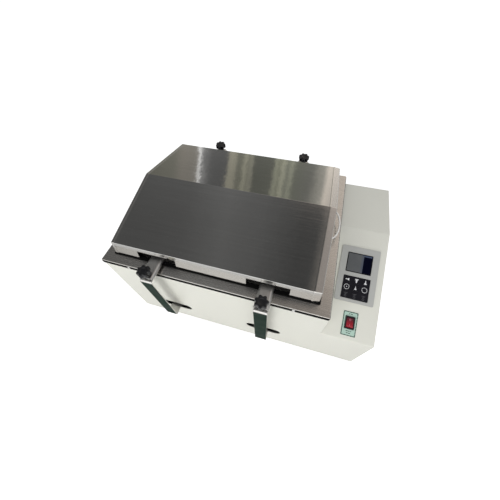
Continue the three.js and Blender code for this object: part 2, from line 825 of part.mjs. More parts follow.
// A clamp knob on its own axis, seated at z = 0, with one lobe pointing to the front.
function starKnob() {
  const count = knobLobes * knobPointsPerLobe
  const middle = knobRadius - knobChamfer - knobLobeDepth / 2
  const outline = Array.from({ length: count }, (_, i) => {
    const angle = (2 * Math.PI * i) / count - Math.PI / 2
    const radius = middle + (knobLobeDepth / 2) * Math.cos(knobLobes * (angle + Math.PI / 2))
    return [radius * Math.cos(angle), radius * Math.sin(angle)]
  })
  const star = new THREE.ExtrudeGeometry(outlineOf(outline), {
    depth: knobHeight - 2 * knobChamfer,
    bevelThickness: knobChamfer,
    bevelSize: knobChamfer,
    bevelSegments: 1,
  })
  star.translate(0, 0, knobHubHeight + knobChamfer)
  const hub = roundBar(knobHubRadius, axisZ, [0, knobHubHeight + knobChamfer], [0, 0])
  const stud = roundBar(studRadius, axisZ, [-studLength, knobHubHeight], [0, 0])
  return solidOf(star).add(hub).add(stud)
}

function flaskTray() {
  const outline = (inset) => roundedRectangle(
    around(driveX + rearArmShift / 2, trayWidth - 2 * inset),
    around(0, trayDepth - 2 * inset),
    trayCorner - inset,
  )
  const pan = prismZ(outline(0), [trayBottom, trayBottom + trayLip])
    .subtract(prismZ(outline(traySheet), [trayBottom + traySheet, trayBottom + trayLip + overrun]))
  const middleColumn = (trayHoleColumns - 1) / 2
  const middleRow = (trayHoleRows - 1) / 2
  const pitchX = (trayWidth / 2 - trayHoleMarginX) / middleColumn
  const pitchY = (trayDepth / 2 - trayHoleMarginY) / middleRow
  let tray = pan
  for (let column = 0; column < trayHoleColumns; column++) {
    for (let row = 0; row < trayHoleRows; row++) {
      const place = [
        driveX + rearArmShift / 2 + (column - middleColumn) * pitchX,
        (row - middleRow) * pitchY,
      ]
      const levels = [trayBottom - overrun, trayBottom + traySheet + overrun]
      tray = tray.subtract(roundBar(trayHoleRadius, axisZ, levels, place, trayHoleSides))
    }
  }
  return tray
}

// Carriage and its rails

const axleFlangeY = railSpacing / 2 - railGroove / 2 - railSheet - clearance - axleFlangeSheet
const axleX = (end) => driveX + (end * axleSpacing) / 2

function carriageFrame() {
  const levels = [carriageBottom, carriageTop]
  const through = [carriageBottom - overrun, carriageTop + overrun]
  const plate = prismZ(
    roundedRectangle(around(driveX, 2 * carriageHalf), around(0, carriageDepth), carriageCorner), levels,
  )
  const windowMiddle = (carriageBeam + carriageWindowWidth) / 2
  const windows = [-1, 1].map((end) => prismZ(roundedRectangle(
    around(driveX + end * windowMiddle, carriageWindowWidth), around(0, carriageWindowDepth), carriageCorner,
  ), through))
  const yoke = prismZ(roundedRectangle(
    around(driveX, 2 * (yokeRollerRadius + yokePlay)),
    around(0, 2 * (strokeHalf + yokeRollerRadius + yokeEndPlay)),
    yokeRollerRadius,
  ), through)
  const flanges = [-1, 1].map((side) => block(
    around(driveX, 2 * (carriageHalf - carriageCorner)),
    between(side * axleFlangeY, side * (axleFlangeY + axleFlangeSheet)),
    [carriageBottom - axleFlangeDrop, carriageTop - carriageSheet / 2],
  ))
  const axleEnd = railSpacing / 2 + rollerWidth / 2 + clearance
  const axles = [-1, 1].flatMap((side) => [-1, 1].flatMap((end) => {
    const span = (from, to) => between(side * from, side * to)
    const place = [axleX(end), axleLevel]
    return [
      roundBar(axleRadius, axisY, span(axleFlangeY, axleEnd + axleCollarWidth), place),
      roundBar(axleCollarRadius, axisY, span(axleEnd, axleEnd + axleCollarWidth), place),
    ]
  }))
  const cut = [...windows, yoke].reduce((sum, cutter) => sum.subtract(cutter), plate)
  return [...flanges, ...axles].reduce((sum, part) => sum.add(part), cut)
}

// A guide roller on its own axis, along Y.
function roller() {
  const half = rollerWidth / 2
  const bore = axleRadius + clearance
  const hub = rollerRadius - rollerShoulder
  const solid = turned([
    [0, -half], [hub, -half], [rollerRadius, rollerShoulder - half],
    [rollerRadius, half - rollerShoulder], [hub, half], [0, half],
  ]).subtract(roundBar(bore, axisZ, [-half - overrun, half + overrun], [0, 0]))
  return solidOf(geometryOf(solid).rotateX(Math.PI / 2))
}

// A rail for the front, drawn about its middle: its outer lip, at -Y, is the higher one.
function guideRail() {
  const wall = railGroove / 2 + railSheet
  const bottom = baseTop + clearance
  const ends = around(0, railLength)
  const webs = [[-1, railOuterLip], [1, railInnerLip]].map(([side, lip]) => block(
    ends, between((side * railGroove) / 2, side * wall), [bottom, railTop + lip],
  ))
  const flanges = [-1, 1].map((side) => block(
    ends, between((side * railGroove) / 2, side * (wall + railFlange)), [bottom, bottom + railSheet],
  ))
  const floor = block(ends, around(0, 2 * wall - railSheet), [railTop - railSheet, railTop])
  return [...webs, ...flanges].reduce((sum, part) => sum.add(part), floor)
}

// Crank drive

// [radius, level] pairs of a grooved pulley between its underside and its top.
function pulleyRim(floorRadius) {
  const rim = floorRadius + pulleyFlangeRise
  return [
    [rim, pulleyBottom], [rim, pulleyBottom + pulleyFlange],
    [floorRadius, pulleyBottom + pulleyFlange], [floorRadius, pulleyTop - pulleyFlange],
    [rim, pulleyTop - pulleyFlange], [rim, pulleyTop],
  ]
}

// On the crank's own axis, with the pin towards the back, where the carriage is in mid stroke.
function crankPulley() {
  const body = turned([
    [0, pulleyBottom - crankShaftLength], [crankShaftRadius, pulleyBottom - crankShaftLength],
    [crankShaftRadius, pulleyBottom], ...pulleyRim(crankFloorRadius), [0, pulleyTop],
  ])
  const pinTop = carriageBottom + (carriageSheet + yokeRollerHeight) / 2
  const seat = roundBar(
    crankPinRadius + pulleyFlange, axisZ,
    [pulleyTop - pulleyFlange, pinTop - yokeRollerHeight - clearance], [0, strokeHalf],
  )
  const pin = roundBar(crankPinRadius, axisZ, [pulleyTop - pulleyFlange, pinTop], [0, strokeHalf])
  return body.add(seat).add(pin)
}

function camRoller() {
  const top = carriageBottom + (carriageSheet + yokeRollerHeight) / 2
  const levels = [top - yokeRollerHeight, top]
  return roundBar(yokeRollerRadius, axisZ, levels, [0, strokeHalf])
    .subtract(roundBar(
      crankPinRadius + clearance, axisZ, [levels[0] - overrun, top + overrun], [0, strokeHalf],
    ))
}

function crankBearing() {
  const bottom = baseTop + clearance
  const top = pulleyBottom - clearance
  const housing = turned([
    [0, bottom], [bearingFlangeRadius, bottom], [bearingFlangeRadius, bottom + bearingFlangeHeight],
    [bearingRadius, bottom + bearingFlangeHeight], [bearingRadius, top], [0, top],
  ])
  return housing.subtract(roundBar(
    crankShaftRadius + clearance, axisZ, [top - bearingDepth, top + overrun], [0, 0],
  ))
}

// On the motor's own axis.
function motorPulley() {
  const shaftBottom = motorTop + motorBossHeight - motorShaftDepth + clearance
  return turned([
    [0, shaftBottom], [motorShaftRadius, shaftBottom], [motorShaftRadius, pulleyBottom],
    ...pulleyRim(motorFloorRadius), [0, pulleyTop],
  ])
}

const motorTop = baseTop + bracketRise - clearance

function motor() {
  const bottom = motorTop - motorHeight
  const can = turned([
    [0, bottom], [motorRadius - motorShoulder, bottom], [motorRadius, bottom + motorShoulder],
    [motorRadius, motorTop - motorShoulder], [motorRadius - motorShoulder, motorTop],
    [motorBossRadius, motorTop], [motorBossRadius, motorTop + motorBossHeight],
    [0, motorTop + motorBossHeight],
  ])
  const boreLevels = [motorTop + motorBossHeight - motorShaftDepth, motorTop + motorBossHeight + overrun]
  return can.subtract(roundBar(motorShaftRadius + clearance, axisZ, boreLevels, [0, 0]))
}

function motorBracket() {
  const bottom = baseTop + clearance
  const top = baseTop + bracketRise
  const inner = motorRadius + bracketSideGap
  const path = [
    [-inner - bracketFoot, bottom], [-inner, bottom], [-inner, top], [inner, top],
    [inner, bottom], [inner + bracketFoot, bottom],
  ]
  const shape = sheetSection(path, 0, bracketSheet)
  return prismY(shape, around(0, bracketWidth))
    .subtract(roundBar(
      motorBossRadius + clearance, axisZ, [top - overrun, top + bracketSheet + overrun], [0, 0],
    ))
}

// Outline of a belt line round both pulleys, at a distance from their groove floors.
function beltLine(distance) {
  const crank = crankFloorRadius + distance
  const small = motorFloorRadius + distance
  const lean = Math.acos((crank - small) / motorReach)
  const shape = new THREE.Shape()
  shape.absarc(0, 0, crank, lean, 2 * Math.PI - lean)
  shape.absarc(motorReach, 0, small, -lean, lean)
  return shape
}

function driveBelt() {
  const levels = [pulleyBottom + pulleyFlange + clearance, pulleyTop - pulleyFlange - clearance]
  const options = { depth: levels[1] - levels[0], bevelEnabled: false, curveSegments: roundSides / 2 }
  const outer = new THREE.ExtrudeGeometry(beltLine(clearance + beltThickness), options)
  const through = { ...options, depth: options.depth + 2 * overrun }
  const inner = new THREE.ExtrudeGeometry(beltLine(clearance), through)
  return solidOf(outer.translate(0, 0, levels[0]))
    .subtract(solidOf(inner.translate(0, 0, levels[0] - overrun)))
}

// Heater, probe and drain

class Hairpin extends THREE.Curve {
  getPoint(share, target = new THREE.Vector3()) {
    const straight = heaterLength
    const turn = Math.PI * heaterBend
    const run = share * (2 * straight + turn)
    if (run <= straight) return target.set(-run, -heaterBend, 0)
    if (run >= straight + turn) return target.set(run - 2 * straight - turn, heaterBend, 0)
    const angle = (run - straight) / heaterBend
    return target.set(-straight - heaterBend * Math.sin(angle), -heaterBend * Math.cos(angle), 0)
  }
}

function heaterElement() {
  const start = bathRight + bathSheet + heaterTail
  const hairpin = wire(new Hairpin(), heaterRadius, heaterSteps).translate([start, bathShiftY, heaterLevel])
  const collarEnd = bathRight - clearance
  const collars = [-1, 1].map((leg) => roundBar(
    heaterCollarRadius, axisX, [collarEnd - heaterCollarWidth, collarEnd],
    [bathShiftY + leg * heaterBend, heaterLevel],
  ))
  const standX = start - heaterLength
  const stands = [-1, 1].map((leg) => block(
    around(standX, heaterStandWidth),
    around(bathShiftY + leg * heaterBend, heaterStandWidth),
    [bathFloor + clearance, heaterLevel],
  ))
  return [...collars, ...stands].reduce((sum, part) => sum.add(part), hairpin)
}

function temperatureProbe() {
  const wall = bathRight + bathSheet
  const head = roundBar(probeHeadRadius, axisX, [wall + clearance, wall + heaterTail], [probeY, probeLevel])
  return roundBar(probeRadius, axisX, [bathRight - probeLength, wall + heaterTail / 2], [probeY, probeLevel])
    .add(head)
}

const valveY = cabinetBack + clearance + drainNutWidth + valveLength / 2

function drainValve() {
  const place = [valveX, drainLevel]
  const valveEnd = valveY + valveLength / 2
  const nutInside = bathBack - clearance
  const nutOutside = cabinetBack + clearance
  const bars = [
    roundBar(drainRadius, axisY, [nutInside - drainNutWidth, valveEnd], place),
    roundBar(drainNutRadius, axisY, [nutInside - drainNutWidth, nutInside], place, nutSides),
    roundBar(drainNutRadius, axisY, [nutOutside, nutOutside + drainNutWidth], place),
    roundBar(valveRadius, axisY, [valveEnd - valveLength - overrun, valveEnd], place),
    roundBar(nozzleRadius, axisY, [valveEnd - overrun, valveEnd + nozzleLength], place),
    roundBar(valveStemRadius, axisZ, [drainLevel, drainLevel + valveStemRise], [valveX, valveY]),
  ]
  const bore = roundBar(
    drainBore, axisY, [nutInside - drainNutWidth - overrun, valveEnd + nozzleLength + overrun], place,
  )
  return bars.reduce((sum, part) => sum.add(part)).subtract(bore)
}

// The drain's lever on its own axis, pointing to +X when the drain is shut.
function drainLever() {
  const blade = block([0, leverLength], around(0, leverWidth), [0, leverThickness])
  return roundBar(leverHubRadius, axisZ, [0, leverThickness + clearance], [0, 0]).add(blade)
}

// Control panel, in the panel's own frame

function controlPlate() {
  const levels = [clearance, clearance + plateThickness]
  const through = [-overrun, levels[1] + overrun]
  const hole = (rise, width, height) => prismZ(
    roundedRectangle(around(0, width + 2 * clearance), around(rise, height + 2 * clearance), plateCorner / 2),
    through,
  )
  return prismZ(roundedRectangle(around(0, plateWidth), around(plateRise, plateHeight), plateCorner), levels)
    .subtract(hole(windowRise, windowWidth, windowHeight))
    .subtract(hole(keypadRise, keypadWidth, keypadHeight))
}

function displayWindow() {
  return prismZ(
    roundedRectangle(around(0, windowWidth), around(windowRise, windowHeight), plateCorner / 2),
    [clearance, clearance + windowThickness],
  )
}

const keyPlaces = Array.from({ length: keyColumns * keyRows }, (_, i) => [
  ((i % keyColumns) - (keyColumns - 1) / 2) * keyPitchX,
  keypadRise + keyPitchY - Math.floor(i / keyColumns) * keyPitchY,
])

function keypadPanel() {
  const levels = [clearance, clearance + keypadThickness]
  const sheet = prismZ(
    roundedRectangle(around(0, keypadWidth), around(keypadRise, keypadHeight), plateCorner / 2), levels,
  )
  return keyPlaces.reduce((sum, [x, y]) => sum.subtract(prismZ(
    roundedRectangle(
      around(x, keyWidth + 2 * clearance), around(y, keyHeight + 2 * clearance), keyCorner + clearance,
    ),
    [-overrun, levels[1] + overrun],
  )), sheet)
}

function panelKey() {
  return prismZ(
    roundedRectangle(around(0, keyWidth), around(0, keyHeight), keyCorner),
    [keyStandoff, keyStandoff + keyThickness],
  )
}

function switchLabel() {
  return prismZ(
    roundedRectangle(around(0, labelWidth), around(labelRise, labelHeight), labelCorner),
    [clearance, clearance + labelThickness],
  ).subtract(block(
    around(0, switchBodyWidth + 2 * clearance),
    around(bezelRise, switchBodyHeight + 2 * clearance),
    [-overrun, labelThickness + overrun],
  ))
}

const bezelBottom = clearance + labelThickness + clearance

function switchBezel() {
  const top = bezelBottom + bezelThickness
  const flange = prismZ(
    roundedRectangle(around(0, bezelWidth), around(bezelRise, bezelHeight), bezelCorner), [bezelBottom, top],
  )
  const bodyLevels = [bezelBottom - switchBodyDepth, bezelBottom + bezelThickness / 2]
  const body = block(around(0, switchBodyWidth), around(bezelRise, switchBodyHeight), bodyLevels)
  const hollow = block(
    around(0, rockerWidth + 2 * clearance),
    around(bezelRise, 2 * (rockerRadius + clearance)),
    [bodyLevels[0] + switchWall, top + overrun],
  )
  const terminals = [-1, 0, 1].map((place) => block(
    around(0, terminalWidth),
    around(bezelRise + (place * switchBodyHeight) / 3, terminalThickness),
    [bodyLevels[0] - terminalLength, bodyLevels[0] + switchWall / 2],
  ))
  const pivots = [-1, 1].map((side) => roundBar(
    rockerPivotRadius, axisX,
    between(side * (rockerWidth / 2 - rockerPivotReach), (side * switchBodyWidth) / 2),
    [bezelRise, -rockerAxisDepth],
  ))
  return [...terminals, ...pivots].reduce((sum, part) => sum.add(part), flange.add(body).subtract(hollow))
}

// The rocker on its own axis, along X, tipped to its off side.
function switchRocker() {
  const rim = (angle) => [rockerRadius * Math.cos(angle), rockerRadius * Math.sin(angle)]
  const stepAngle = (rockerTop - rockerUnder) / rockerSteps
  const end = Array.from({ length: rockerSteps + 1 }, (_, i) => rim(rockerUnder + i * stepAngle))
  const otherEnd = end.map(([y, z]) => [-y, z]).reverse()
  const section = outlineOf([...end, [0, rockerDish], ...otherEnd])
  const body = prismX(section, around(0, rockerWidth))
  const sockets = [-1, 1].map((side) => roundBar(
    rockerPivotRadius + clearance, axisX,
    between(side * (rockerWidth / 2 - rockerPivotReach - clearance), side * (rockerWidth / 2 + overrun)),
    [0, 0],
  ))
  return sockets.reduce((sum, cutter) => sum.subtract(cutter), body)
}

function controlBoard() {
  const top = boardThickness - boardDepth
  const seat = -cabinetSheet - clearance
  const board = block(around(0, boardWidth), around(plateRise, boardHeight), [-boardDepth, top])
  const standoffs = [-1, 1].flatMap((side) => [-1, 1].map((end) => roundBar(
    standoffRadius, axisZ, [top - boardThickness / 2, seat],
    [side * (boardWidth / 2 - standoffInset), plateRise + end * (boardHeight / 2 - standoffInset)],
  )))
  const display = block(
    around(0, windowWidth - 2 * (windowLedge + clearance)),
    around(windowRise, windowHeight - 2 * (windowLedge + clearance)),
    [top - boardThickness / 2, -clearance],
  )
  const hung = (size, x, y) => block(
    around(x, size.x), around(y, size.y), [-boardDepth - size.z, boardThickness / 2 - boardDepth],
  )
  const transformer = hung(
    transformerSize, -transformerSize.x / 2 + standoffInset, plateRise - boardHeight / 4,
  )
  const relays = [-1, 1].map((end) => hung(
    relaySize, boardWidth / 4, plateRise + end * (relaySize.y / 2 + standoffInset),
  ))
  return [...standoffs, display, transformer, ...relays].reduce((sum, part) => sum.add(part), board)
}

// Power inlet, drawn about its middle with y = 0 on the cabinet's back

function powerInlet() {
  const face = clearance + inletFlangeThickness
  const flange = prismY(
    roundedRectangle(around(0, inletFlangeWidth), around(0, inletFlangeHeight), inletCorner),
    [clearance, face],
  )
  const body = block(around(0, inletBodyWidth), [-inletBodyDepth, face - inletFlangeThickness / 2],
    around(0, inletBodyHeight))
  const half = socketWidth / 2
  const socket = prismY(outlineOf([
    [-half, -socketHeight / 2], [half, -socketHeight / 2],
    [half, socketHeight / 2 - socketChamfer], [half - socketChamfer, socketHeight / 2],
    [socketChamfer - half, socketHeight / 2], [-half, socketHeight / 2 - socketChamfer],
  ]), [face - socketDepth, face + overrun]).translate([0, 0, -socketDrop])
  const pins = [-1, 0, 1].map((place) => block(
    around(place * socketPinPitch, socketPinWidth),
    [face - socketDepth - overrun, face - socketDepth + socketPinLength],
    around((place === 0 ? socketEarthRise : 0) - socketDrop, socketPinHeight),
  ))
  const drawerPocket = block(
    around(0, fuseWidth + 2 * clearance), [face - fuseDepth, face + overrun],
    around(fuseRise, fuseHeight + 2 * clearance),
  )
  const terminals = [-1, 1].map((place) => block(
    around(place * socketPinPitch, terminalWidth),
    [-inletBodyDepth - terminalLength, overrun - inletBodyDepth],
    around(-socketDrop, terminalThickness),
  ))
  const shell = flange.add(body).subtract(socket).subtract(drawerPocket)
  return [...pins, ...terminals].reduce((sum, part) => sum.add(part), shell)
}

function fuseDrawer() {
  const face = clearance + inletFlangeThickness
  const gripLevels = [face - fuseGrip, face + 2 * fuseGrip]
  const grip = block(around(0, fuseWidth / 2), gripLevels, around(fuseRise, fuseGrip))
  return block(
    around(0, fuseWidth), [face - fuseDepth + clearance, face + fuseGrip], around(fuseRise, fuseHeight),
  ).add(grip)
}

// Assembly

piece(group, 'cabinet_shell', cabinetShell(), ivoryPaint)
piece(group, 'base_plate', basePlate(), zincSteel)
const footSolid = foot()
for (const [sideName, side] of [['front', -1], ['rear', 1]]) {
  for (const [endName, end] of [['left', -1], ['right', 1]]) {
    const standing = piece(group, `foot_${sideName}_${endName}`, footSolid, blackRubber)
    standing.position.set(
      (cabinetLeft + cabinetRight) / 2 + end * (cabinetWidth / 2 - footInset),
      (cabinetFront + cabinetBack) / 2 + side * (cabinetDepth / 2 - footInset),
      0,
    )
  }
}
piece(group, 'bath_tank', bath(), brushedSteel)
piece(group, 'rim_gasket', rimGasket(), blackRubber)
piece(group, 'lid_seal', lidSeal(), blackRubber)
piece(group, 'heater_element', heaterElement(), darkSteel)
piece(group, 'temperature_probe', temperatureProbe(), zincSteel)
piece(group, 'drain_valve', drainValve(), brassMetal)
piece(group, 'drain_lever', drainLever(), redPlastic)
  .position.set(valveX, valveY, drainLevel + valveStemRise + clearance)

const lid = new THREE.Group()
group.add(lid)
piece(lid, 'lid_shell', lidShell(), brushedSteel)
for (const [name, side] of [['left', -1], ['right', 1]]) {
  piece(lid, `lid_end_${name}`, lidEnd(side), brushedSteel)
  const handle = piece(lid, `lid_handle_${name}`, lidHandle(), zincSteel)
  handle.position.set(rimX + side * (lidLength / 2 + clearance), bathShiftY, lidBottom + handleHeight)
  handle.rotation.z = side < 0 ? Math.PI : 0
}

const carriage = new THREE.Group()
group.add(carriage)
piece(carriage, 'carriage_frame', carriageFrame(), zincSteel)
piece(carriage, 'flask_tray', flaskTray(), brushedSteel)
const armSolid = arm()
const hangerSolid = hanger()
const knobSolid = starKnob()
for (const { name, x, side } of hangers) {
  const corner = new THREE.Group()
  corner.position.set(x, side * armFace, 0)
  corner.rotation.z = side < 0 ? 0 : Math.PI
  carriage.add(corner)
  piece(corner, `arm_${name}`, armSolid, armGreen)
  piece(corner, `hanger_bar_${name}`, hangerSolid, brushedSteel)
  const knob = piece(corner, `clamp_knob_${name}`, knobSolid, blackPlastic)
  knob.position.set(0, knobReach, hangerTop + clearance)
}
const rollerSolid = roller()
const railSolid = guideRail()
for (const [sideName, side] of [['front', -1], ['rear', 1]]) {
  const rail = piece(group, `guide_rail_${sideName}`, railSolid, zincSteel)
  rail.position.set(driveX, (side * railSpacing) / 2, 0)
  rail.rotation.z = side < 0 ? 0 : Math.PI
  for (const [endName, end] of [['left', -1], ['right', 1]]) {
    piece(carriage, `roller_${sideName}_${endName}`, rollerSolid, blackPlastic)
      .position.set(axleX(end), (side * railSpacing) / 2, axleLevel)
  }
}

const drive = new THREE.Group()
drive.position.x = driveX
group.add(drive)
piece(drive, 'crank_bearing', crankBearing(), motorPaint)
piece(drive, 'crank_pulley', crankPulley(), zincSteel)
piece(drive, 'cam_roller', camRoller(), blackPlastic)
piece(drive, 'drive_belt', driveBelt(), blackRubber)
piece(drive, 'motor', motor(), motorPaint).position.x = motorReach
piece(drive, 'motor_bracket', motorBracket(), zincSteel).position.x = motorReach
piece(drive, 'motor_pulley', motorPulley(), zincSteel).position.x = motorReach

piece(panel, 'control_plate', controlPlate(), greyPlastic)
piece(panel, 'display_window', displayWindow(), displayGlass)
piece(panel, 'keypad_panel', keypadPanel(), blackPlastic)
const keySolid = panelKey()
keyPlaces.forEach(([x, y], i) => {
  piece(panel, `key_${i + 1}`, keySolid, blackPlastic).position.set(x, y, 0)
})
piece(panel, 'switch_label', switchLabel(), mintPlastic)
piece(panel, 'switch_bezel', switchBezel(), blackPlastic)
const rocker = piece(panel, 'switch_rocker', switchRocker(), redPlastic)
rocker.position.set(0, bezelRise, -rockerAxisDepth)
rocker.rotation.x = -rockerTilt
piece(panel, 'control_board', controlBoard(), boardGreen)

const inletPlace = new THREE.Vector3(inletCentre, cabinetBack, cabinetBottom + inletRise)
piece(group, 'power_inlet', powerInlet(), blackPlastic).position.copy(inletPlace)
piece(group, 'fuse_drawer', fuseDrawer(), blackPlastic).position.copy(inletPlace)

export default group
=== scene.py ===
# Heated shaking bath: a stainless bath let into a painted cabinet, under a gabled lid that lifts off.
# Two arms in front and two behind carry a flask tray by bars that pass under the lid's skirt.
# A control box with a sloping panel stands at the right. Metres, in the CAD frame.

import math

import bmesh
import bpy
import numpy as np
from mathutils import Matrix, Vector


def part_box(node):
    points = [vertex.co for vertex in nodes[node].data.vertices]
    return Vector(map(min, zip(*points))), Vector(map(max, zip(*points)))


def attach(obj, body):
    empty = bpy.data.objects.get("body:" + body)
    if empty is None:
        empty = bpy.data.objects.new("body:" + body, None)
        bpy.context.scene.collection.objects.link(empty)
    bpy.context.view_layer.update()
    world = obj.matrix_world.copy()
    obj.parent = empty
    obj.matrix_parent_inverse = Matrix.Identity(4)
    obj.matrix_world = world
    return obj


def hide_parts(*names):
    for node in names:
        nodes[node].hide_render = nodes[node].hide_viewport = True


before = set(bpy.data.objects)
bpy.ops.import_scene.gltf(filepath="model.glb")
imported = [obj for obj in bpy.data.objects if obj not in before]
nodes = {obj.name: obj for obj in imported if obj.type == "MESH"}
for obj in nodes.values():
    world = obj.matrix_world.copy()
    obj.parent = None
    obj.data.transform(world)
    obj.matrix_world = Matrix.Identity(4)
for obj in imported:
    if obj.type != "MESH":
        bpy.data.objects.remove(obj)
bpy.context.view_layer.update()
scene = bpy.context.scene
scene.view_settings.view_transform = "Standard"


# The camera stands in front of the control panel's left edge and looks down on the lid, through a
# wide lens whose middle is a few pixels off the picture's middle.
camera = bpy.data.objects.new("camera", bpy.data.cameras.new("camera"))
camera.data.sensor_width = 36
camera.data.lens = 18.004
camera.data.shift_x = -0.00428
camera.data.shift_y = -0.0116
camera_place = (0.12203, -0.42672, 0.83154)
heading, lean, roll = 0.32555, 0.6003, -0.05574
camera_turn = Matrix.Rotation(heading, 4, "Z") @ Matrix.Rotation(lean, 4, "X") @ Matrix.Rotation(roll, 4, "Z")
camera.matrix_world = Matrix.Translation(camera_place) @ camera_turn
scene.collection.objects.link(camera)
scene.camera = camera


# The room: a pale floor, a soft lamp on each side in front and the room's own light. Steel shows a
# dark ceiling overhead, and paler walls with window bands low down at the back.
def join(node, inputs):
    """Gives each of a node's inputs a value, or joins another node's output to it."""
    for key, value in dict(inputs).items():
        if isinstance(value, bpy.types.NodeSocket):
            node.id_data.links.new(value, node.inputs[key])
        else:
            node.inputs[key].default_value = value


def add(tree, kind, inputs=(), **settings):
    """A new shader node with its settings and inputs."""
    made = tree.nodes.new("ShaderNode" + kind)
    for key, value in settings.items():
        setattr(made, key, value)
    join(made, inputs)
    return made


def math_of(tree, operation, *values):
    """The outcome of one operation on numbers."""
    return add(tree, "Math", dict(enumerate(values)), operation=operation).outputs[0]


def mapped(tree, value, low, high, start=0, end=1, curve="LINEAR"):
    """A number taken from one range to another, and held within it."""
    ends = {"Value": value, "From Min": low, "From Max": high, "To Min": start, "To Max": end}
    return add(tree, "MapRange", ends, interpolation_type=curve).outputs["Result"]


def mixed(tree, share, first, second, how="MIX"):
    """Two colours mixed by a share."""
    colors = {"Fac": share, "Color1": first, "Color2": second}
    return add(tree, "MixRGB", colors, blend_type=how).outputs["Color"]


def ramp(tree, value, stops):
    """A colour ramp over a value, from (place, grey level or colour) stops."""
    made = add(tree, "ValToRGB", {"Fac": value})
    places = made.color_ramp.elements
    while len(places) < len(stops):
        places.new(1)
    for element, (place, level) in zip(places, stops):
        element.position = place
        element.color = (*np.broadcast_to(level, 3), 1)
    return made.outputs["Color"]


world = bpy.data.worlds.new("room")
scene.world = world
world.use_nodes = True
sky = world.node_tree
sky.nodes.clear()
direction = add(sky, "TexCoord").outputs["Generated"]
axes = add(sky, "SeparateXYZ", {"Vector": direction}).outputs
ray = add(sky, "LightPath").outputs
upward, sideways = mapped(sky, axes["Z"], -1, 1), mapped(sky, axes["X"], -1, 1)
walls = ramp(sky, upward, [
    (0, 0.95), (0.5, 0.9), (0.58, 0.4), (0.64, 0.29), (0.72, 0.27), (0.88, 0.26), (0.92, 0.17), (0.96, 0.12),
    (1, 0.1),
])
windows = ramp(sky, sideways, [
    (0.0, 0.8), (0.22, (0.62, 0.61, 0.52)), (0.25, (0.7, 0.69, 0.59)), (0.262, (0.92, 0.86, 0.76)),
    (0.285, (0.88, 0.83, 0.74)), (0.2878, 3.9), (0.29, 3.2), (0.2935, 0.85), (0.31, 0.45), (0.336, 0.42),
    (0.3405, (1.3, 1.24, 1.0)), (0.352, (1.1, 1.06, 0.86)), (0.356, (0.62, 0.62, 0.52)),
    (0.366, (0.7, 0.7, 0.56)), (0.3695, (1.75, 1.7, 1.35)), (0.3735, (0.62, 0.62, 0.5)),
    (0.381, (1.15, 1.12, 0.92)), (0.3865, (0.45, 0.46, 0.4)), (0.422, (0.5, 0.51, 0.44)),
    (0.428, (1.4, 1.42, 1.1)), (0.4335, (0.75, 0.76, 0.6)), (0.44, (1.6, 1.6, 1.25)),
    (0.449, (0.72, 0.74, 0.62)), (0.4565, (1.3, 1.32, 1.05)), (0.463, (0.62, 0.64, 0.54)),
    (0.495, (0.66, 0.66, 0.6)), (0.508, (1.15, 1.12, 1.0)), (0.52, (1.5, 1.45, 1.3)),
    (0.54, (2.9, 2.65, 2.35)), (0.57, (2.4, 2.2, 2.0)), (0.7, 1.6), (1, 1.2),
])
overhead = ramp(sky, sideways, [
    (0.1, 0.4), (0.2, 0.45), (0.28, 0.8), (0.35, 1.35), (0.42, 1.2), (0.5, 0.7), (0.55, 0.75),
    (0.6, (1.6, 1.5, 1.4)), (0.66, (3.2, 2.9, 2.7)), (0.8, 2.0),
])
pattern = mixed(sky, mapped(sky, upward, 0.74, 0.86), windows, overhead)
room = mixed(sky, 1, walls, pattern, "MULTIPLY")
for toward, wide, narrow, light in (
    ((0.12, 0.64, 0.76), 0.93, 0.985, (0.42, 0.36, 0.31, 1)),
    ((-0.2, -0.93, 0.3), 0.6, 0.95, (1.3, 1.3, 1.3, 1)),
):
    facing = add(sky, "VectorMath", {0: direction, 1: toward}, operation="DOT_PRODUCT").outputs["Value"]
    lit = mixed(sky, mapped(sky, facing, wide, narrow, curve="SMOOTHSTEP"), (0, 0, 0, 1), light)
    room = mixed(sky, 1, room, lit, "ADD")
soft, shown, white = (
    add(sky, "Background", {"Color": color, "Strength": strength}).outputs[0]
    for color, strength in (((0.98, 0.99, 1.0, 1), 0.54), (room, 1), ((1, 1, 1, 1), 1))
)
mirrored = math_of(sky, "MAXIMUM", ray["Is Glossy Ray"], ray["Is Transmission Ray"])
indoors = add(sky, "MixShader", {"Fac": mirrored, 1: soft, 2: shown}).outputs[0]
seen = add(sky, "MixShader", {"Fac": ray["Is Camera Ray"], 1: indoors, 2: white}).outputs[0]
add(sky, "OutputWorld", {"Surface": seen})

lamp_aim = Vector((0, 0, 0.15))
for name, place, size, energy in (
    ("left_lamp", (-0.62, -1.8, 0.6), (1.0, 0.8), 12), ("right_lamp", (0.8, -0.9, 1.5), (1.2, 1.2), 8),
):
    lamp = bpy.data.objects.new(name, bpy.data.lights.new(name, "AREA"))
    lamp.data.shape = "RECTANGLE"
    lamp.data.size, lamp.data.size_y = size
    lamp.data.energy = energy
    lamp.data.color = (1, 0.99, 0.97)
    lamp.location = place
    lamp.rotation_euler = (lamp_aim - Vector(place)).to_track_quat("-Z", "Y").to_euler()
    lamp.visible_glossy = False
    scene.collection.objects.link(lamp)


def new_material(name):
    """A material, its node tree and its shader."""
    material = bpy.data.materials.new(name)
    material.use_nodes = True
    return material, material.node_tree, material.node_tree.nodes["Principled BSDF"]


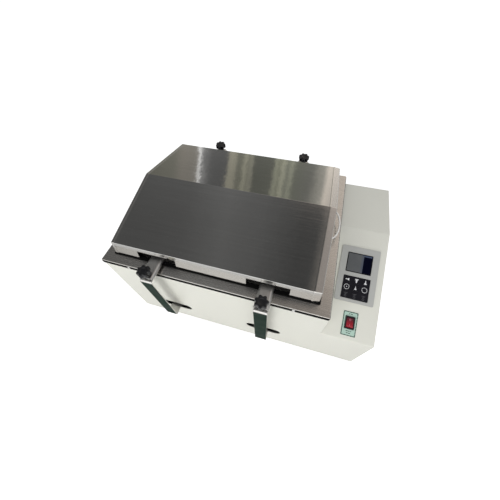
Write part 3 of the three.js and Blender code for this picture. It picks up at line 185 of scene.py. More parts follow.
floor_reach = 9
floor_mesh = bpy.data.meshes.new("floor")
floor_corners = [(floor_reach * x, floor_reach * y, 0) for x, y in ((-1, -1), (1, -1), (1, 1), (-1, 1))]
floor_mesh.from_pydata(floor_corners, [], [(0, 1, 2, 3)])
floor = bpy.data.objects.new("floor", floor_mesh)
scene.collection.objects.link(floor)
paper, paper_tree, paper_shader = new_material("floor_paper")
join(paper_shader, {"Base Color": (0.86, 0.86, 0.86, 1), "Roughness": 0.9})
glow = add(paper_tree, "Emission", {"Color": (1, 1, 1, 1), "Strength": 0.6}).outputs[0]
plain = add(paper_tree, "Emission", {"Color": (0, 0, 0, 1), "Strength": 0}).outputs[0]
to_camera = add(paper_tree, "LightPath").outputs["Is Camera Ray"]
camera_only = add(paper_tree, "MixShader", {"Fac": to_camera, 1: plain, 2: glow}).outputs[0]
lit_paper = add(paper_tree, "AddShader", {0: paper_shader.outputs[0], 1: camera_only}).outputs[0]
join(paper_tree.nodes["Material Output"], {"Surface": lit_paper})
floor_mesh.materials.append(paper)


# The cabinet and the control box: 1.5 mm steel sheet folded over small radii and stoved with an
# ivory enamel. Four slots let the arms through, and louvres are pressed into the back.
def shader_group(name, inputs, outputs):
    """An empty node group: the group, the values that come in and the node for those that go out."""
    group = bpy.data.node_groups.new(name, "ShaderNodeTree")
    for label, kind, value in inputs:
        socket = group.interface.new_socket(label, in_out="INPUT", socket_type="NodeSocket" + kind)
        socket.default_value = value
    for label in outputs:
        group.interface.new_socket(label, in_out="OUTPUT", socket_type="NodeSocketFloat")
    return group, group.nodes.new("NodeGroupInput").outputs, group.nodes.new("NodeGroupOutput")


# Blotches: slow, soft changes over a surface, from handling and uneven coating.
blotches, given, result = shader_group(
    "blotches", [("Scale", "Float", 8), ("Amount", "Float", 0.5)], ["Tone", "Height"],
)
place = add(blotches, "TexCoord").outputs["Object"]
slow = add(blotches, "TexNoise", {"Vector": place, "Scale": given["Scale"], "Detail": 5, "Roughness": 0.6})
centred = math_of(blotches, "SUBTRACT", slow.outputs["Fac"], 0.5)
toned = math_of(blotches, "MULTIPLY_ADD", centred, given["Amount"], 1)
join(result, {"Tone": toned, "Height": slow.outputs["Fac"]})

# Skin: the fine pebbled surface of a sprayed or moulded skin.
skin, given, result = shader_group("skin", [("Scale", "Float", 700)], ["Height"])
place = add(skin, "TexCoord").outputs["Object"]
pebbles = add(skin, "TexNoise", {"Vector": place, "Scale": given["Scale"], "Detail": 2})
join(result, {"Height": pebbles.outputs["Fac"]})


def coated(name, color, roughness, metallic=0, tone=(6, 0.08), pebble=(700, 0.00004), gloss=0.12, **sockets):
    """A sprayed, moulded or plated finish: the colour and gloss drift slowly, over a pebbled skin."""
    material, tree, shader = new_material(name)
    drift = add(tree, "Group", {"Scale": tone[0], "Amount": tone[1]}, node_tree=blotches).outputs
    grain = add(tree, "Group", {"Scale": pebble[0]}, node_tree=skin).outputs
    tint = add(tree, "VectorMath", {0: color, 1: drift["Tone"]}, operation="MULTIPLY")
    bump = add(tree, "Bump", {"Height": grain["Height"], "Strength": 1, "Distance": pebble[1]})
    join(shader, {
        "Base Color": tint.outputs[0], "Metallic": metallic, "Normal": bump.outputs[0],
        "Roughness": mapped(tree, drift["Height"], 0.3, 0.7, roughness - gloss / 2, roughness + gloss / 2),
        **{key.replace("_", " "): value for key, value in sockets.items()},
    })
    return material


ivory = coated("ivory_enamel", (0.72, 0.72, 0.655), 0.42, Coat_Weight=0.15, Coat_Roughness=0.25)


def span(node):
    """The lowest and the highest corner of a node, a row for each."""
    return np.array(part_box(node))


def values_of(items, key, width=1, kind=float):
    """One property of all of a mesh's points, edges, corners or faces, a row for each."""
    found = np.empty(len(items) * width, kind)
    items.foreach_get(key, found)
    return found.reshape(-1, width) if width > 1 else found


def bare_copy(node):
    """The node's mesh with its loose triangles joined and its flat faces made whole."""
    work = bmesh.new()
    work.from_mesh(nodes[node].data)
    bmesh.ops.remove_doubles(work, verts=work.verts, dist=1e-6)
    bmesh.ops.dissolve_limit(work, angle_limit=0.01, verts=work.verts, edges=work.edges)
    mesh = bpy.data.meshes.new(node + "_body")
    work.to_mesh(mesh)
    work.free()
    return mesh


def place_piece(name, mesh, body, slot, materials, *replaced):
    """Puts a finished mesh in the scene as a piece that rides on a body."""
    mesh.name = name
    for material in materials:
        mesh.materials.append(material)
    mesh.polygons.foreach_set("use_smooth", np.ones(len(mesh.polygons), bool))
    piece = bpy.data.objects.new(name, mesh)
    scene.collection.objects.link(piece)
    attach(piece, body)
    if replaced:
        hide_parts(*replaced)
    return piece


def soften(piece, width, steps=2, angle=35, weights=False):
    """Rounds the piece's edges, and keeps its flat faces flat in the light."""
    bevel = piece.modifiers.new("edges", "BEVEL")
    bevel.width = width
    bevel.segments = steps
    bevel.limit_method = "WEIGHT" if weights else "ANGLE"
    bevel.angle_limit = math.radians(angle)
    piece.modifiers.new("shade", "WEIGHTED_NORMAL").keep_sharp = True
    return piece


# An edge where two of the outer faces meet is a fold and is rounded. The cut edges stay sharp.
cabinet_mesh = bare_copy("cabinet_shell")
cabinet_low, cabinet_high = span("cabinet_shell")
slope_foot, slope_run, slope_climb = 0.197, 0.267, 0.101
step_wall, step_depth, slack = 0.219, 0.0016, 1e-5
x, y, z = values_of(cabinet_mesh.vertices, "co", 3).T
off_the_slope = (z - slope_foot) * slope_run - (y - cabinet_low[1]) * (cabinet_high[2] - slope_foot)
outer = np.stack([
    x < cabinet_low[0] + slack, x > cabinet_high[0] - slack, y < cabinet_low[1] + slack,
    y > cabinet_high[1] - slack, z > cabinet_high[2] - slack,
    (np.abs(off_the_slope) < 1e-6) & (x > step_wall - step_depth), np.abs(x - step_wall) < slack,
], -1)
shared = outer[values_of(cabinet_mesh.edges, "vertices", 2, int)].all(1).sum(-1) >= 2
weight = cabinet_mesh.attributes.new("bevel_weight_edge", "FLOAT", "EDGE")
weight.data.foreach_set("value", shared.astype(np.float32))
cabinet_mesh.set_sharp_from_angle(angle=math.radians(30))
sharp = values_of(cabinet_mesh.edges, "use_edge_sharp", kind=bool)
cabinet_mesh.edges.foreach_set("use_edge_sharp", sharp & ~shared)
cabinet = place_piece("cabinet_shell_sheet", cabinet_mesh, "cabinet", "ivory_paint", [ivory], "cabinet_shell")
soften(cabinet, 0.0021, 4, weights=True)


# The bath: one stainless pressing with a coved floor, whose flat rim lies over the cabinet and
# turns down all round. Four clips hold the rim, over a black gasket.
brushed, given, result = shader_group(
    "brushed", [("Stretch", "Vector", (6, 900, 900)), ("Depth", "Float", 0.5)], ["Streak", "Height"],
)
place = add(brushed, "TexCoord").outputs["Object"]
drawn = add(brushed, "Mapping", {"Vector": place, "Scale": given["Stretch"]}).outputs[0]
fine = add(brushed, "TexNoise", {"Vector": drawn, "Scale": 1, "Detail": 3, "Roughness": 0.7}).outputs["Fac"]
wide = add(brushed, "TexNoise", {"Vector": drawn, "Scale": 0.14, "Detail": 2}).outputs["Fac"]
both = add(brushed, "Mix", {"Factor": 0.4, 2: fine, 3: wide}, data_type="FLOAT").outputs[0]
streak = math_of(brushed, "MULTIPLY_ADD", math_of(brushed, "SUBTRACT", both, 0.5), given["Depth"], 1)
join(result, {"Streak": streak, "Height": fine})


def brushed_steel(name, color, roughness, stretch=(6, 900, 900), depth=0.35, wave=0.0006, lengthwise=0.0,
                  cut=2e-6):
    """Brushed sheet: fine lines along the grain, slow waves in the sheet, and highlights drawn out
    across the grain where the piece has a UV map to follow."""
    material, tree, shader = new_material(name)
    lines = add(tree, "Group", {"Stretch": stretch, "Depth": depth}, node_tree=brushed).outputs
    drift = add(tree, "Group", {"Scale": 5, "Amount": 0.1}, node_tree=blotches).outputs
    tint = color
    for tone in (lines["Streak"], drift["Tone"]):
        tint = add(tree, "VectorMath", {0: tint, 1: tone}, operation="MULTIPLY").outputs[0]
    waves = add(tree, "Bump", {"Height": drift["Height"], "Strength": 1, "Distance": wave}).outputs[0]
    grooves = add(tree, "Bump", {"Height": lines["Height"], "Strength": 1, "Distance": cut, "Normal": waves})
    join(shader, {
        "Base Color": tint, "Metallic": 1, "Normal": grooves.outputs[0],
        "Roughness": mapped(tree, lines["Height"], 0.3, 0.7, roughness - 0.05, roughness + 0.05),
    })
    if lengthwise:
        tangent = add(tree, "Tangent", direction_type="UV_MAP", uv_map="grain").outputs[0]
        join(shader, {"Anisotropic": lengthwise, "Anisotropic Rotation": 0.25, "Tangent": tangent})
    return material


def rounded_rectangle(middle, size, radius, steps):
    """Points around rectangles with round corners: each corner's middle is set in from the corner
    by the radius, and a quarter circle turns about it in equal steps."""
    sizes = (np.asarray(value, float) for value in (middle, size, np.expand_dims(radius, -1)))
    middle, size, radius = np.broadcast_arrays(*sizes)
    sign = np.array([[1, -1], [1, 1], [-1, 1], [-1, -1]])
    turned_by = np.linspace(0, math.pi / 2, steps + 1) + (np.arange(4)[:, None] - 1) * math.pi / 2
    rays = np.stack([np.cos(turned_by), np.sin(turned_by)], -1)
    centres = middle[..., None, :] + sign * (size / 2 - radius)[..., None, :]
    around = centres[..., None, :] + radius[..., None, None, :] * rays
    return around.reshape(*middle.shape[:-1], -1, 2)


def surface(grid, closed=False, caps=(), keep=None, flip=False):
    """A mesh from a grid of points: each face joins a point, the next one in its row and the two
    beside them in the next row. A closed grid joins each row's end to its start, and a flat face
    lies over the first or last row where caps names it. Only the faces marked in keep are made, if
    it is given, and flip turns them all over."""
    rows, columns = grid.shape[:2]
    row = np.arange(rows - 1)[:, None]
    column = np.arange(columns if closed else columns - 1)[None]
    here, beside = row * columns + column, row * columns + (column + 1) % columns
    faces = np.stack([here, beside, beside + columns, here + columns], -1).reshape(-1, 4)
    if keep is not None:
        faces = faces[keep.reshape(-1)]
    first = np.arange(columns)[None]
    ends = {"first": first[:, ::-1], "last": first + (rows - 1) * columns}
    groups = [faces, *(ends[name] for name in caps)]
    faces = [face for group in groups for face in (group[:, ::-1] if flip else group).tolist()]
    mesh = bpy.data.meshes.new("surface")
    mesh.from_pydata(grid.reshape(-1, 3).tolist(), [], faces)
    return mesh


def solid(grid, flip=False):
    """A closed body from rings of points, with a flat face over each end."""
    return surface(grid, closed=True, caps=("first", "last"), flip=flip)


def grain_map(mesh):
    """A UV map in metres for the grain: U runs along x and V along the way square to it that each
    face turns. A face that looks along x takes y and z."""
    co = values_of(mesh.vertices, "co", 3)[values_of(mesh.loops, "vertex_index", kind=int)]
    corners_each = values_of(mesh.polygons, "loop_total", kind=int)
    normals = np.repeat(values_of(mesh.polygons, "normal", 3), corners_each, 0)
    side = np.cross(normals, (1, 0, 0))
    flat = np.linalg.norm(side, axis=-1) < 0.3
    side /= np.maximum(np.linalg.norm(side, axis=-1, keepdims=True), 1e-6)
    u = np.where(flat, co[:, 1], co[:, 0])
    v = np.where(flat, co[:, 2], (co * side).sum(-1))
    mesh.uv_layers.new(name="grain").data.foreach_set("uv", np.stack([u, v], -1).reshape(-1))
    return mesh


def thicken(piece, sheet):
    """Gives an open surface the thickness of its sheet, behind the side that shows."""
    wall = piece.modifiers.new("sheet", "SOLIDIFY")
    wall.thickness = sheet
    wall.offset = -1
    wall.use_even_offset = True
    return piece


def at_levels(outlines, levels):
    """Flat outlines, each raised to its level."""
    levels = np.reshape(levels, (-1, 1, 1))
    return np.concatenate([outlines, np.broadcast_to(levels, (*outlines.shape[:2], 1))], -1)


bath_steel = brushed_steel("bath_steel", (0.66, 0.64, 0.612), 0.28, depth=0.3, lengthwise=0.6, wave=0.0008)
rim_low, rim_high = span("bath_tank")
rim_size, rim_middle = (rim_high - rim_low)[:2], (rim_high + rim_low)[:2] / 2
rim_top, rim_lip, rim_fold, rim_corner = rim_high[2], 0.0029, 0.0014, 0.0025
bath_size, bath_middle, bath_corner = np.array([0.47, 0.35]), rim_middle + [0, 0.0095], 0.025
bath_floor, mouth, cove = rim_low[2] + 0.0015, 0.003, 0.012
bend = np.linspace(0, math.pi / 2, 5)[:, None]
out, down = 1 - np.sin(bend), 1 - np.cos(bend)
bath_rings = np.concatenate([
    np.hstack([np.zeros((len(level), 1)) + part for part in (size, middle, radius, level)])
    for size, middle, radius, level in (
        (rim_size, rim_middle, rim_corner, np.array([[rim_top - rim_lip]])),
        (rim_size - 2 * rim_fold * down, rim_middle, rim_corner, rim_top - rim_fold * out),
        (bath_size + 2 * mouth * out, bath_middle, bath_corner + mouth * out, rim_top - mouth * down),
        (bath_size - 2 * cove * down, bath_middle, bath_corner - cove * down, bath_floor + cove * out),
    )
])
bath_outline = rounded_rectangle(bath_rings[:, 2:4], bath_rings[:, 0:2], bath_rings[:, 4], 8)
bath_mesh = grain_map(surface(at_levels(bath_outline, bath_rings[:, 5]), closed=True, caps=("last",)))
bath = place_piece("bath_pressing", bath_mesh, "cabinet", "brushed_stainless", [bath_steel], "bath_tank")
soften(thicken(bath, 0.0014), 0.0003, 1, 60)

rubber = coated("black_rubber", (0.004, 0.004, 0.004), 0.8, tone=(30, 0.3), gloss=0.1, Specular_IOR_Level=0.1)
gasket_rise = 0.0012
gasket_mesh = bare_copy("rim_gasket")
points = values_of(gasket_mesh.vertices, "co", 3)
points[:, 2] += gasket_rise * (points[:, 2] > span("rim_gasket")[:, 2].mean())
gasket_mesh.vertices.foreach_set("co", points.reshape(-1))
gasket = place_piece("rim_gasket_strip", gasket_mesh, "cabinet", "black_rubber", [rubber], "rim_gasket")
soften(gasket, 0.0005)


def slab(outline, levels, base=(0, 0, 0)):
    """A flat plate: an outline carried between two levels, with a face over each."""
    return solid(at_levels(np.stack([outline] * 2), levels) + base)


def box_mesh(low, high):
    """A closed box between two corners."""
    return slab(np.array([low[:2], [high[0], low[1]], high[:2], [low[0], high[1]]]), (low[2], high[2]))


clip_steel = coated("clip_steel", (0.78, 0.78, 0.77), 0.22, 1, tone=(60, 0.2), gloss=0.1)
clip_inset, clip_foot, clip_half = 0.0765, 0.2984, np.array([0.003, 0.0014])
for end, x in (("left", rim_low[0] + clip_inset), ("right", rim_high[0] - clip_inset)):
    for row, y in (("front", rim_low[1]), ("rear", rim_high[1])):
        clip_mesh = box_mesh((*([x, y] - clip_half), clip_foot), (*([x, y] + clip_half), rim_top - 0.0006))
        clip = place_piece(f"rim_clip_{row}_{end}", clip_mesh, "cabinet", "brushed_stainless", [clip_steel])
        soften(clip, 0.0006, 3)


# The lid: a gabled roof of stainless sheet whose skirts lean out a little, with four notches for the
# bars, and an end cap folded over it at each end. A bent wire handle is riveted to each cap, and a
# black rubber seal lies under the lid's edge. The seal also stands in for the shade of the gap under
# the skirt: it is partly a real seal and partly a dark strip put there as painted shade.
def rounded_path(corners, radii, steps):
    """A path through corners: at each inner corner an arc touches both sides, and turns from one
    side to the other in equal steps about a middle on the corner's bisector."""
    p = np.asarray(corners, float)
    radii = np.broadcast_to(radii, len(p) - 2).astype(float)
    back, ahead = p[:-2] - p[1:-1], p[2:] - p[1:-1]
    back /= np.linalg.norm(back, axis=-1, keepdims=True)
    ahead /= np.linalg.norm(ahead, axis=-1, keepdims=True)
    half = np.arccos(np.clip((back * ahead).sum(-1), -1, 1)) / 2
    inward = (back + ahead) / np.linalg.norm(back + ahead, axis=-1, keepdims=True)
    centre = p[1:-1] + inward * (radii / np.sin(half))[:, None]
    start = p[1:-1] + back * (radii / np.tan(half))[:, None] - centre
    end = p[1:-1] + ahead * (radii / np.tan(half))[:, None] - centre
    sweep = (math.pi - 2 * half)[:, None, None]
    share = np.linspace(0, 1, steps + 1)[None, :, None]
    arc = start[:, None] * np.sin((1 - share) * sweep) + end[:, None] * np.sin(share * sweep)
    arc = centre[:, None] + arc / np.sin(sweep)
    return np.concatenate([p[:1], arc.reshape(-1, p.shape[1]), p[-1:]])


def offset_path(path, distance):
    """The path moved to the left of its direction, each point along the mitre of its two sides."""
    side = np.diff(path, axis=0)
    side /= np.linalg.norm(side, axis=-1, keepdims=True)
    left = np.stack([-side[:, 1], side[:, 0]], -1)
    before, after = np.vstack([left[:1], left]), np.vstack([left, left[-1:]])
    mitre = (before + after) / (1 + (before * after).sum(-1, keepdims=True))
    return path + mitre * distance


def swept(path, stations):
    """A sheet whose section is a path in y and z, the same at every station along x."""
    return np.stack(np.broadcast_arrays(stations, path[:, :1], path[:, 1:]), -1)


lid_steel = brushed_steel("lid_steel", (0.585, 0.58, 0.565), 0.1, depth=0.2, wave=0.0008, lengthwise=0.9,
                          cut=3e-7)
shell_low, shell_high = span("lid_shell")
lid_y = (shell_low[1] + shell_high[1]) / 2
lid_bottom, lid_ridge, lid_reach = shell_low[2], shell_high[2], shell_high[1] - lid_y
skirt_flare, skirt_height, notch_height = 0.0066, 0.0348, 0.024
front, back, eave = lid_y - lid_reach, lid_y + lid_reach, lid_bottom + skirt_height
notch_lean, notch_top = skirt_flare * notch_height / skirt_height, lid_bottom + notch_height
lid_corners = np.array([
    [front, lid_bottom], [front + skirt_flare, eave], [lid_y, lid_ridge], [back - skirt_flare, eave],
    [back, lid_bottom],
])
lid_path = rounded_path(lid_corners, [0.0014, 0.0025, 0.0014], 4)
lid_path = np.vstack([
    lid_path[:1], [front + notch_lean, notch_top], lid_path[1:-1], [back - notch_lean, notch_top],
    lid_path[-1:],
])
arm_x = {"front_left": -0.2005, "front_right": 0.073, "rear_left": -0.1935, "rear_right": 0.08}
notch_shift, notch_half = 0.002, 0.05
cuts = np.reshape(list(arm_x.values()), (2, 2)) + notch_shift
stations = np.unique(np.round(np.concatenate([
    np.linspace(shell_low[0], shell_high[0], 25), (cuts - notch_half).ravel(), (cuts + notch_half).ravel(),
]), 6))
middles = (stations[1:] + stations[:-1]) / 2
keep = np.ones((len(lid_path) - 1, len(stations) - 1), bool)
keep[[0, -1]] = (np.abs(middles[None, :, None] - cuts[:, None, :]) >= notch_half).all(-1)
end_roll = 0.002
lid_grid = swept(lid_path, stations)
lid_grid[:, -1, 1:] = offset_path(lid_path, -end_roll)
roof_mesh = grain_map(surface(lid_grid, keep=keep))
roof = place_piece("lid_roof", roof_mesh, "lid", "brushed_stainless", [lid_steel], "lid_shell")
soften(thicken(roof, 0.0015), 0.0003, 1, 60)

cap_sheet, cap_fold, cap_proud, cap_radii = 0.0012, 0.0016, 0.0015, [0.0029, 0.004, 0.0029]
cap_steel = brushed_steel("cap_steel", (0.64, 0.63, 0.61), 0.18, depth=0.12, wave=0.0004, lengthwise=0.8,
                          cut=4e-7)
lap, fold = np.linspace(0, 1, 10), np.linspace(0, math.pi / 2, 5)
gable_share = np.linspace(0, 1, 4)[1:, None, None]
for end, side, lap_width, fall in (("left", -1, 0.0065, 0), ("right", 1, 0.0165, 0.0016)):
    lap_drop = np.interp(lap, [0, 0.12, 1], [0.001, 0.0009, 0.0011 + fall])
    inward = np.concatenate([cap_fold + (1 - lap[:-1]) * lap_width, cap_fold * (1 - np.sin(fold))])
    drops = np.concatenate([lap_drop[:-1], lap_drop[-1] + cap_fold * (1 - np.cos(fold))])
    outer_x = span(f"lid_end_{end}")[(side + 1) // 2, 0]
    rows = np.stack([
        swept(rounded_path(offset_path(lid_corners, cap_proud - drop), cap_radii, 4), x)[:, 0]
        for x, drop in zip(outer_x - side * inward, drops)
    ])
    sill = at_levels(rows[-1:, :, :2], [lid_bottom])
    gable = rows[-1:] * (1 - gable_share) + sill * gable_share
    cap_mesh = grain_map(surface(np.concatenate([rows, gable]), flip=side > 0))
    cap = place_piece(f"lid_cap_{end}", cap_mesh, "lid", "brushed_stainless", [cap_steel], f"lid_end_{end}")
    soften(thicken(cap, cap_sheet), 0.0002, 1, 60)

# Painted shade: the seal's outer edge is spread 1 mm outward, so that more of it shows as the dark line of
# the gap under the skirt.
seal_spread, seal_edge = np.array([0.001, 0.001, 0]), 0.005
seal_mesh = bare_copy("lid_seal")
seal_low, seal_high = span("lid_seal")
seal_half = (seal_high - seal_low) / 2
points = values_of(seal_mesh.vertices, "co", 3)
offsets = points - (seal_low + seal_high) / 2
outermost = (np.abs(offsets) > seal_half - seal_edge)[:, :2].any(-1)
points += offsets * seal_spread / seal_half * outermost[:, None]
seal_mesh.vertices.foreach_set("co", points.reshape(-1))
seal = place_piece("lid_seal_strip", seal_mesh, "cabinet", "black_rubber", [rubber], "lid_seal")
soften(seal, 0.0005)


def tube(path, radius, flat, sides=20):
    """A round bar along a path that lies in a plane: at each point a circle turns in the plane of
    the path's side and the plane's own normal, square to the path."""
    ahead = np.gradient(path, axis=0)
    ahead /= np.linalg.norm(ahead, axis=-1, keepdims=True)
    side = np.cross(flat, ahead)
    angle = np.linspace(0, 2 * math.pi, sides, endpoint=False)[:, None]
    return path[:, None] + radius * (np.cos(angle) * side[:, None] + np.sin(angle) * np.array(flat, float))


def turned(profile, base, axis="Z", sides=64):
    """A surface of revolution from (radius, distance along the axis) pairs: each point turns about
    the axis in equal steps, at its own radius."""
    profile = np.asarray(profile, float)
    angle = np.linspace(0, 2 * math.pi, sides, endpoint=False)
    along = "XYZ".index(axis)
    grid = np.empty((len(profile), sides, 3))
    grid[..., along] = profile[:, 1:]
    grid[..., (along + 1) % 3] = profile[:, :1] * np.cos(angle)
    grid[..., (along + 2) % 3] = profile[:, :1] * np.sin(angle)
    return grid + np.asarray(base, float)


def joined(parts, weld=0.0):
    """One mesh from several, each piece of it left as it is, or welded where points meet."""
    whole = bmesh.new()
    for part in parts:
        whole.from_mesh(part)
        bpy.data.meshes.remove(part)
    if weld:
        bmesh.ops.remove_doubles(whole, verts=whole.verts, dist=weld)
    mesh = bpy.data.meshes.new("joined")
    whole.to_mesh(mesh)
    whole.free()
    return mesh


bright_wire = coated("bright_wire", (0.93, 0.93, 0.92), 0.2, 0.5, tone=(80, 0.12), pebble=(900, 0.00001),
                     gloss=0.08)
bow_reach, bow_half, wire_radius = 0.0186, 0.046, 0.0021
round_the_bow = np.linspace(0, math.pi, 49)
boss = np.array([[0.006, 0.0001], [0.006, 0.0011], [0.0055, 0.0016], [0.0032, 0.0017], [0.0024, 0.0026]])
for end, side in (("left", -1), ("right", 1)):
    handle = f"lid_handle_{end}"
    handle_span = span(handle)
    wall = handle_span[(1 - side) // 2, 0]
    _, middle_y, level = handle_span.mean(0)
    bow = np.column_stack([
        wall + side * (0.0004 + bow_reach * np.sin(round_the_bow)),
        middle_y - bow_half * np.cos(round_the_bow), np.full(len(round_the_bow), level),
    ])
    parts = [solid(tube(bow, wire_radius, (0, 0, 1)), flip=side > 0)]
    for way in (-1, 1):
        foot = turned(boss * [1, side], (wall, middle_y + way * bow_half, level), "X", 40)
        parts.append(solid(foot, flip=side < 0))
    place_piece(f"{handle}_wire", joined(parts), "lid", "bright_wire", [bright_wire], handle)


# The arms: stainless strips with a dark green outer face, bent in under the bars at the top and
# through the cabinet's slots at the bottom. Each carries a stainless bar that runs under the lid.
green = coated("arm_green", (0.004, 0.0175, 0.0105), 0.5, tone=(24, 0.6), gloss=0.15, Specular_IOR_Level=0.05)
hanger_steel = brushed_steel("hanger_steel", (0.72, 0.71, 0.69), 0.36, stretch=(900, 6, 900), wave=0.0003)
zinc = coated("zinc_plate", (0.5, 0.51, 0.52), 0.36, 1, tone=(40, 0.25))
arm_sheet, arm_bend, arm_overlap, stud_y = 0.0025, 0.005, 0.0265, 0.24265
nut_profile = [[0.0041, 0], [0.0066, 0], [0.0075, 0.0008], [0.0075, 0.0065]]
faces_out = {corner: -1 if "front" in corner else 1 for corner in arm_x}
arm_face = {}
for corner, x in arm_x.items():
    outward = faces_out[corner]
    low, high = span(f"arm_{corner}")
    face, tip = (low[1], high[1]) if outward < 0 else (high[1], low[1])
    arm_face[corner] = face
    route = rounded_path([
        [face - outward * arm_overlap, high[2]], [face, high[2]], [face, low[2]], [tip, low[2]],
    ], arm_bend, 8)
    half = (high[0] - low[0]) / 2
    mesh = surface(swept(route, x + np.array([-half, half]) * outward))
    arm = place_piece(
        f"arm_{corner}_strip", mesh, "carriage", "arm_paint", [green, hanger_steel], f"arm_{corner}",
    )
    outer_face = len(route) // 2 - 1
    mesh.polygons.foreach_set("material_index", (np.arange(len(route) - 1) != outer_face).astype(int))
    sheet = thicken(arm, arm_sheet).modifiers["sheet"]
    sheet.material_offset = sheet.material_offset_rim = 1
    soften(arm, 0.0006, 3, 60)
    nut = solid(turned(nut_profile, (x, outward * stud_y, high[2] - 0.009), sides=6))
    soften(place_piece(f"nut_{corner}", nut, "carriage", "zinc_steel", [zinc]), 0.0003, 2, 25)


def channel_bar(x, face_y, outward, top):
    """A bar's outer side: an arch section of flat web and two quarter rounds, carried straight in
    from the arm's face, and a strip as wide as the leg carried round two bends to its foot."""
    half, edge, height, leg_half = 0.0155, 0.005, 0.0065, 0.01
    turned_by = np.linspace(0, math.pi / 2, 6)
    right = np.stack([half - edge + edge * np.cos(turned_by), -edge + edge * np.sin(turned_by)], -1)
    section = np.vstack([[[half, -height]], right, right[::-1] * [-1, 1], [[-half, -height]]])
    runs = np.array([[0.0065], [0.03], [0.06], [0.084]])
    web = np.stack(np.broadcast_arrays(x + section[:, 0], face_y - outward * runs, top + section[:, 1]), -1)
    foot = span("flask_tray")[0, 2] - 0.0023
    leg_start, leg_y, foot_end = (face_y - outward * run for run in (0.0838, 0.103, 0.132))
    route = rounded_path([[leg_start, top], [leg_y, top], [leg_y, foot], [foot_end, foot]], [0.009, 0.007], 6)
    return web, swept(route, x + np.array([leg_half, -leg_half]))


for corner, x in arm_x.items():
    node = f"hanger_bar_{corner}"
    outward, top = faces_out[corner], span(node)[1, 2]
    halves = [surface(half, flip=outward > 0) for half in channel_bar(x, arm_face[corner], outward, top)]
    hanger = joined(halves)
    hanger = place_piece(f"bar_{corner}", hanger, "carriage", "brushed_stainless", [hanger_steel], node)
    soften(thicken(hanger, 0.002), 0.0003, 1, 60)


# The clamp knobs: seven-lobed black plastic moulded on a steel stud, screwed down through the bar
# into a nut under the arm's top.
def star_knob(x, y, seat):
    """A knob's surface: a turned profile of hub, underside, rounded rim and dished top, whose radius
    shrinks between the lobes by a share that grows from nothing at the hub to all at the rim."""
    quarter = np.linspace(0, math.pi / 2, 5)
    profile = np.vstack([
        [[0.0066, 0], [0.007, 0.0004], [0.007, 0.0098]],
        np.column_stack([0.0085 - 0.0015 * np.cos(quarter), 0.0098 + 0.0009 * np.sin(quarter)]),
        np.column_stack([0.0136 + 0.0022 * np.sin(quarter), 0.0129 - 0.0022 * np.cos(quarter)]),
        np.column_stack([0.0128 + 0.003 * np.cos(quarter), 0.0215 + 0.003 * np.sin(quarter)]),
        [[0.0105, 0.0246], [0.0072, 0.0245], [0.0066, 0.0243], [0.0064, 0.0236], [0.006, 0.0234]],
        [[0.002, 0.0235]],
    ])
    lobes, depth, hub, reach = 7, 0.0036, 0.0075, 0.0065
    angle = np.linspace(0, 2 * math.pi, 16 * lobes, endpoint=False)
    valley = (0.5 - 0.5 * np.cos(lobes * (angle + math.pi / 2))) ** 1.2
    radius = profile[:, :1] - depth * np.clip((profile[:, :1] - hub) / reach, 0, 1) ** 1.5 * valley
    rays = (x + radius * np.cos(angle), y + radius * np.sin(angle), seat + profile[:, 1:])
    return np.stack(np.broadcast_arrays(*rays), -1)


black = coated("black_plastic", (0.008, 0.008, 0.01), 0.33, tone=(60, 0.3), pebble=(2200, 0.00005),
               gloss=0.15)
knob_height, thread_pitch, thread_turns = 0.0247, 0.00125, 15
thread = np.arange(2 * thread_turns) * thread_pitch / 2
ridge = np.where(np.arange(len(thread)) % 2, 0.0039, 0.0034)
ridge[0] = 0.003
for corner, x in arm_x.items():
    knob_low, knob_high = span(f"clamp_knob_{corner}")
    y = faces_out[corner] * stud_y
    knob, body = solid(star_knob(x, y, knob_high[2] - knob_height)), f"knob_{corner}"
    place_piece(f"knob_{corner}", knob, body, "black_plastic", [black], f"clamp_knob_{corner}")
    stud = solid(turned(np.column_stack([ridge, thread]), (x, y, knob_low[2]), sides=32))
    place_piece(f"stud_{corner}", stud, body, "zinc_steel", [zinc])


# The sloping panel: a grey plate that frames the display and a black keypad with six keys, and below
# it a mint label round a red rocker switch. The marks are ink: white and grey on the keypad, dark
# green on the label and pink on the rocker.
panel_origin = np.array([0.2805, cabinet_low[1], slope_foot])
panel_tilt = math.atan2(slope_climb, slope_run)
up_slope = np.array([0, math.cos(panel_tilt), math.sin(panel_tilt)])
off_slope = np.array([0, -math.sin(panel_tilt), math.cos(panel_tilt)])


def softened(name, node, body, slot, material, width, steps=2):
    """The node's own shape with its edges rounded."""
    return soften(place_piece(name, bare_copy(node), body, slot, [material], node), width, steps)


def on_panel(height):
    """A placing of flat shapes on the panel: x across, y up the slope, at a height off it."""
    base = panel_origin + height * off_slope
    return lambda flat: base + flat[..., :1] * [1, 0, 0] + flat[..., 1:] * up_slope


def bar(start, end, width, end_width=None):
    """A straight stroke between two points, as wide as given at each end."""
    start, end = np.array(start, float), np.array(end, float)
    ahead = (end - start) / np.linalg.norm(end - start)
    left = np.array([-ahead[1], ahead[0]]) / 2
    ends = ((start, width), (end, width if end_width is None else end_width))
    return np.array([[point - left * wide, point + left * wide] for point, wide in ends]).transpose(1, 0, 2)


def ring(centre, radius, width, steps=40):
    """A round stroke about a centre."""
    angle = 2 * math.pi * np.linspace(0, 1, steps + 1)
    rays = np.stack([np.cos(angle), np.sin(angle)], -1)
    return np.array(centre, float) + np.array([radius + width / 2, radius - width / 2])[:, None, None] * rays


def printed(name, shapes, placing, body, material, slot="black_plastic"):
    """Ink on a face: each flat shape lies just over it and is as thick as a coat of ink."""
    mesh = joined([surface(placing(np.array(shape))) for shape in shapes])
    return thicken(place_piece(name, mesh, body, slot, [material]), 0.00004)


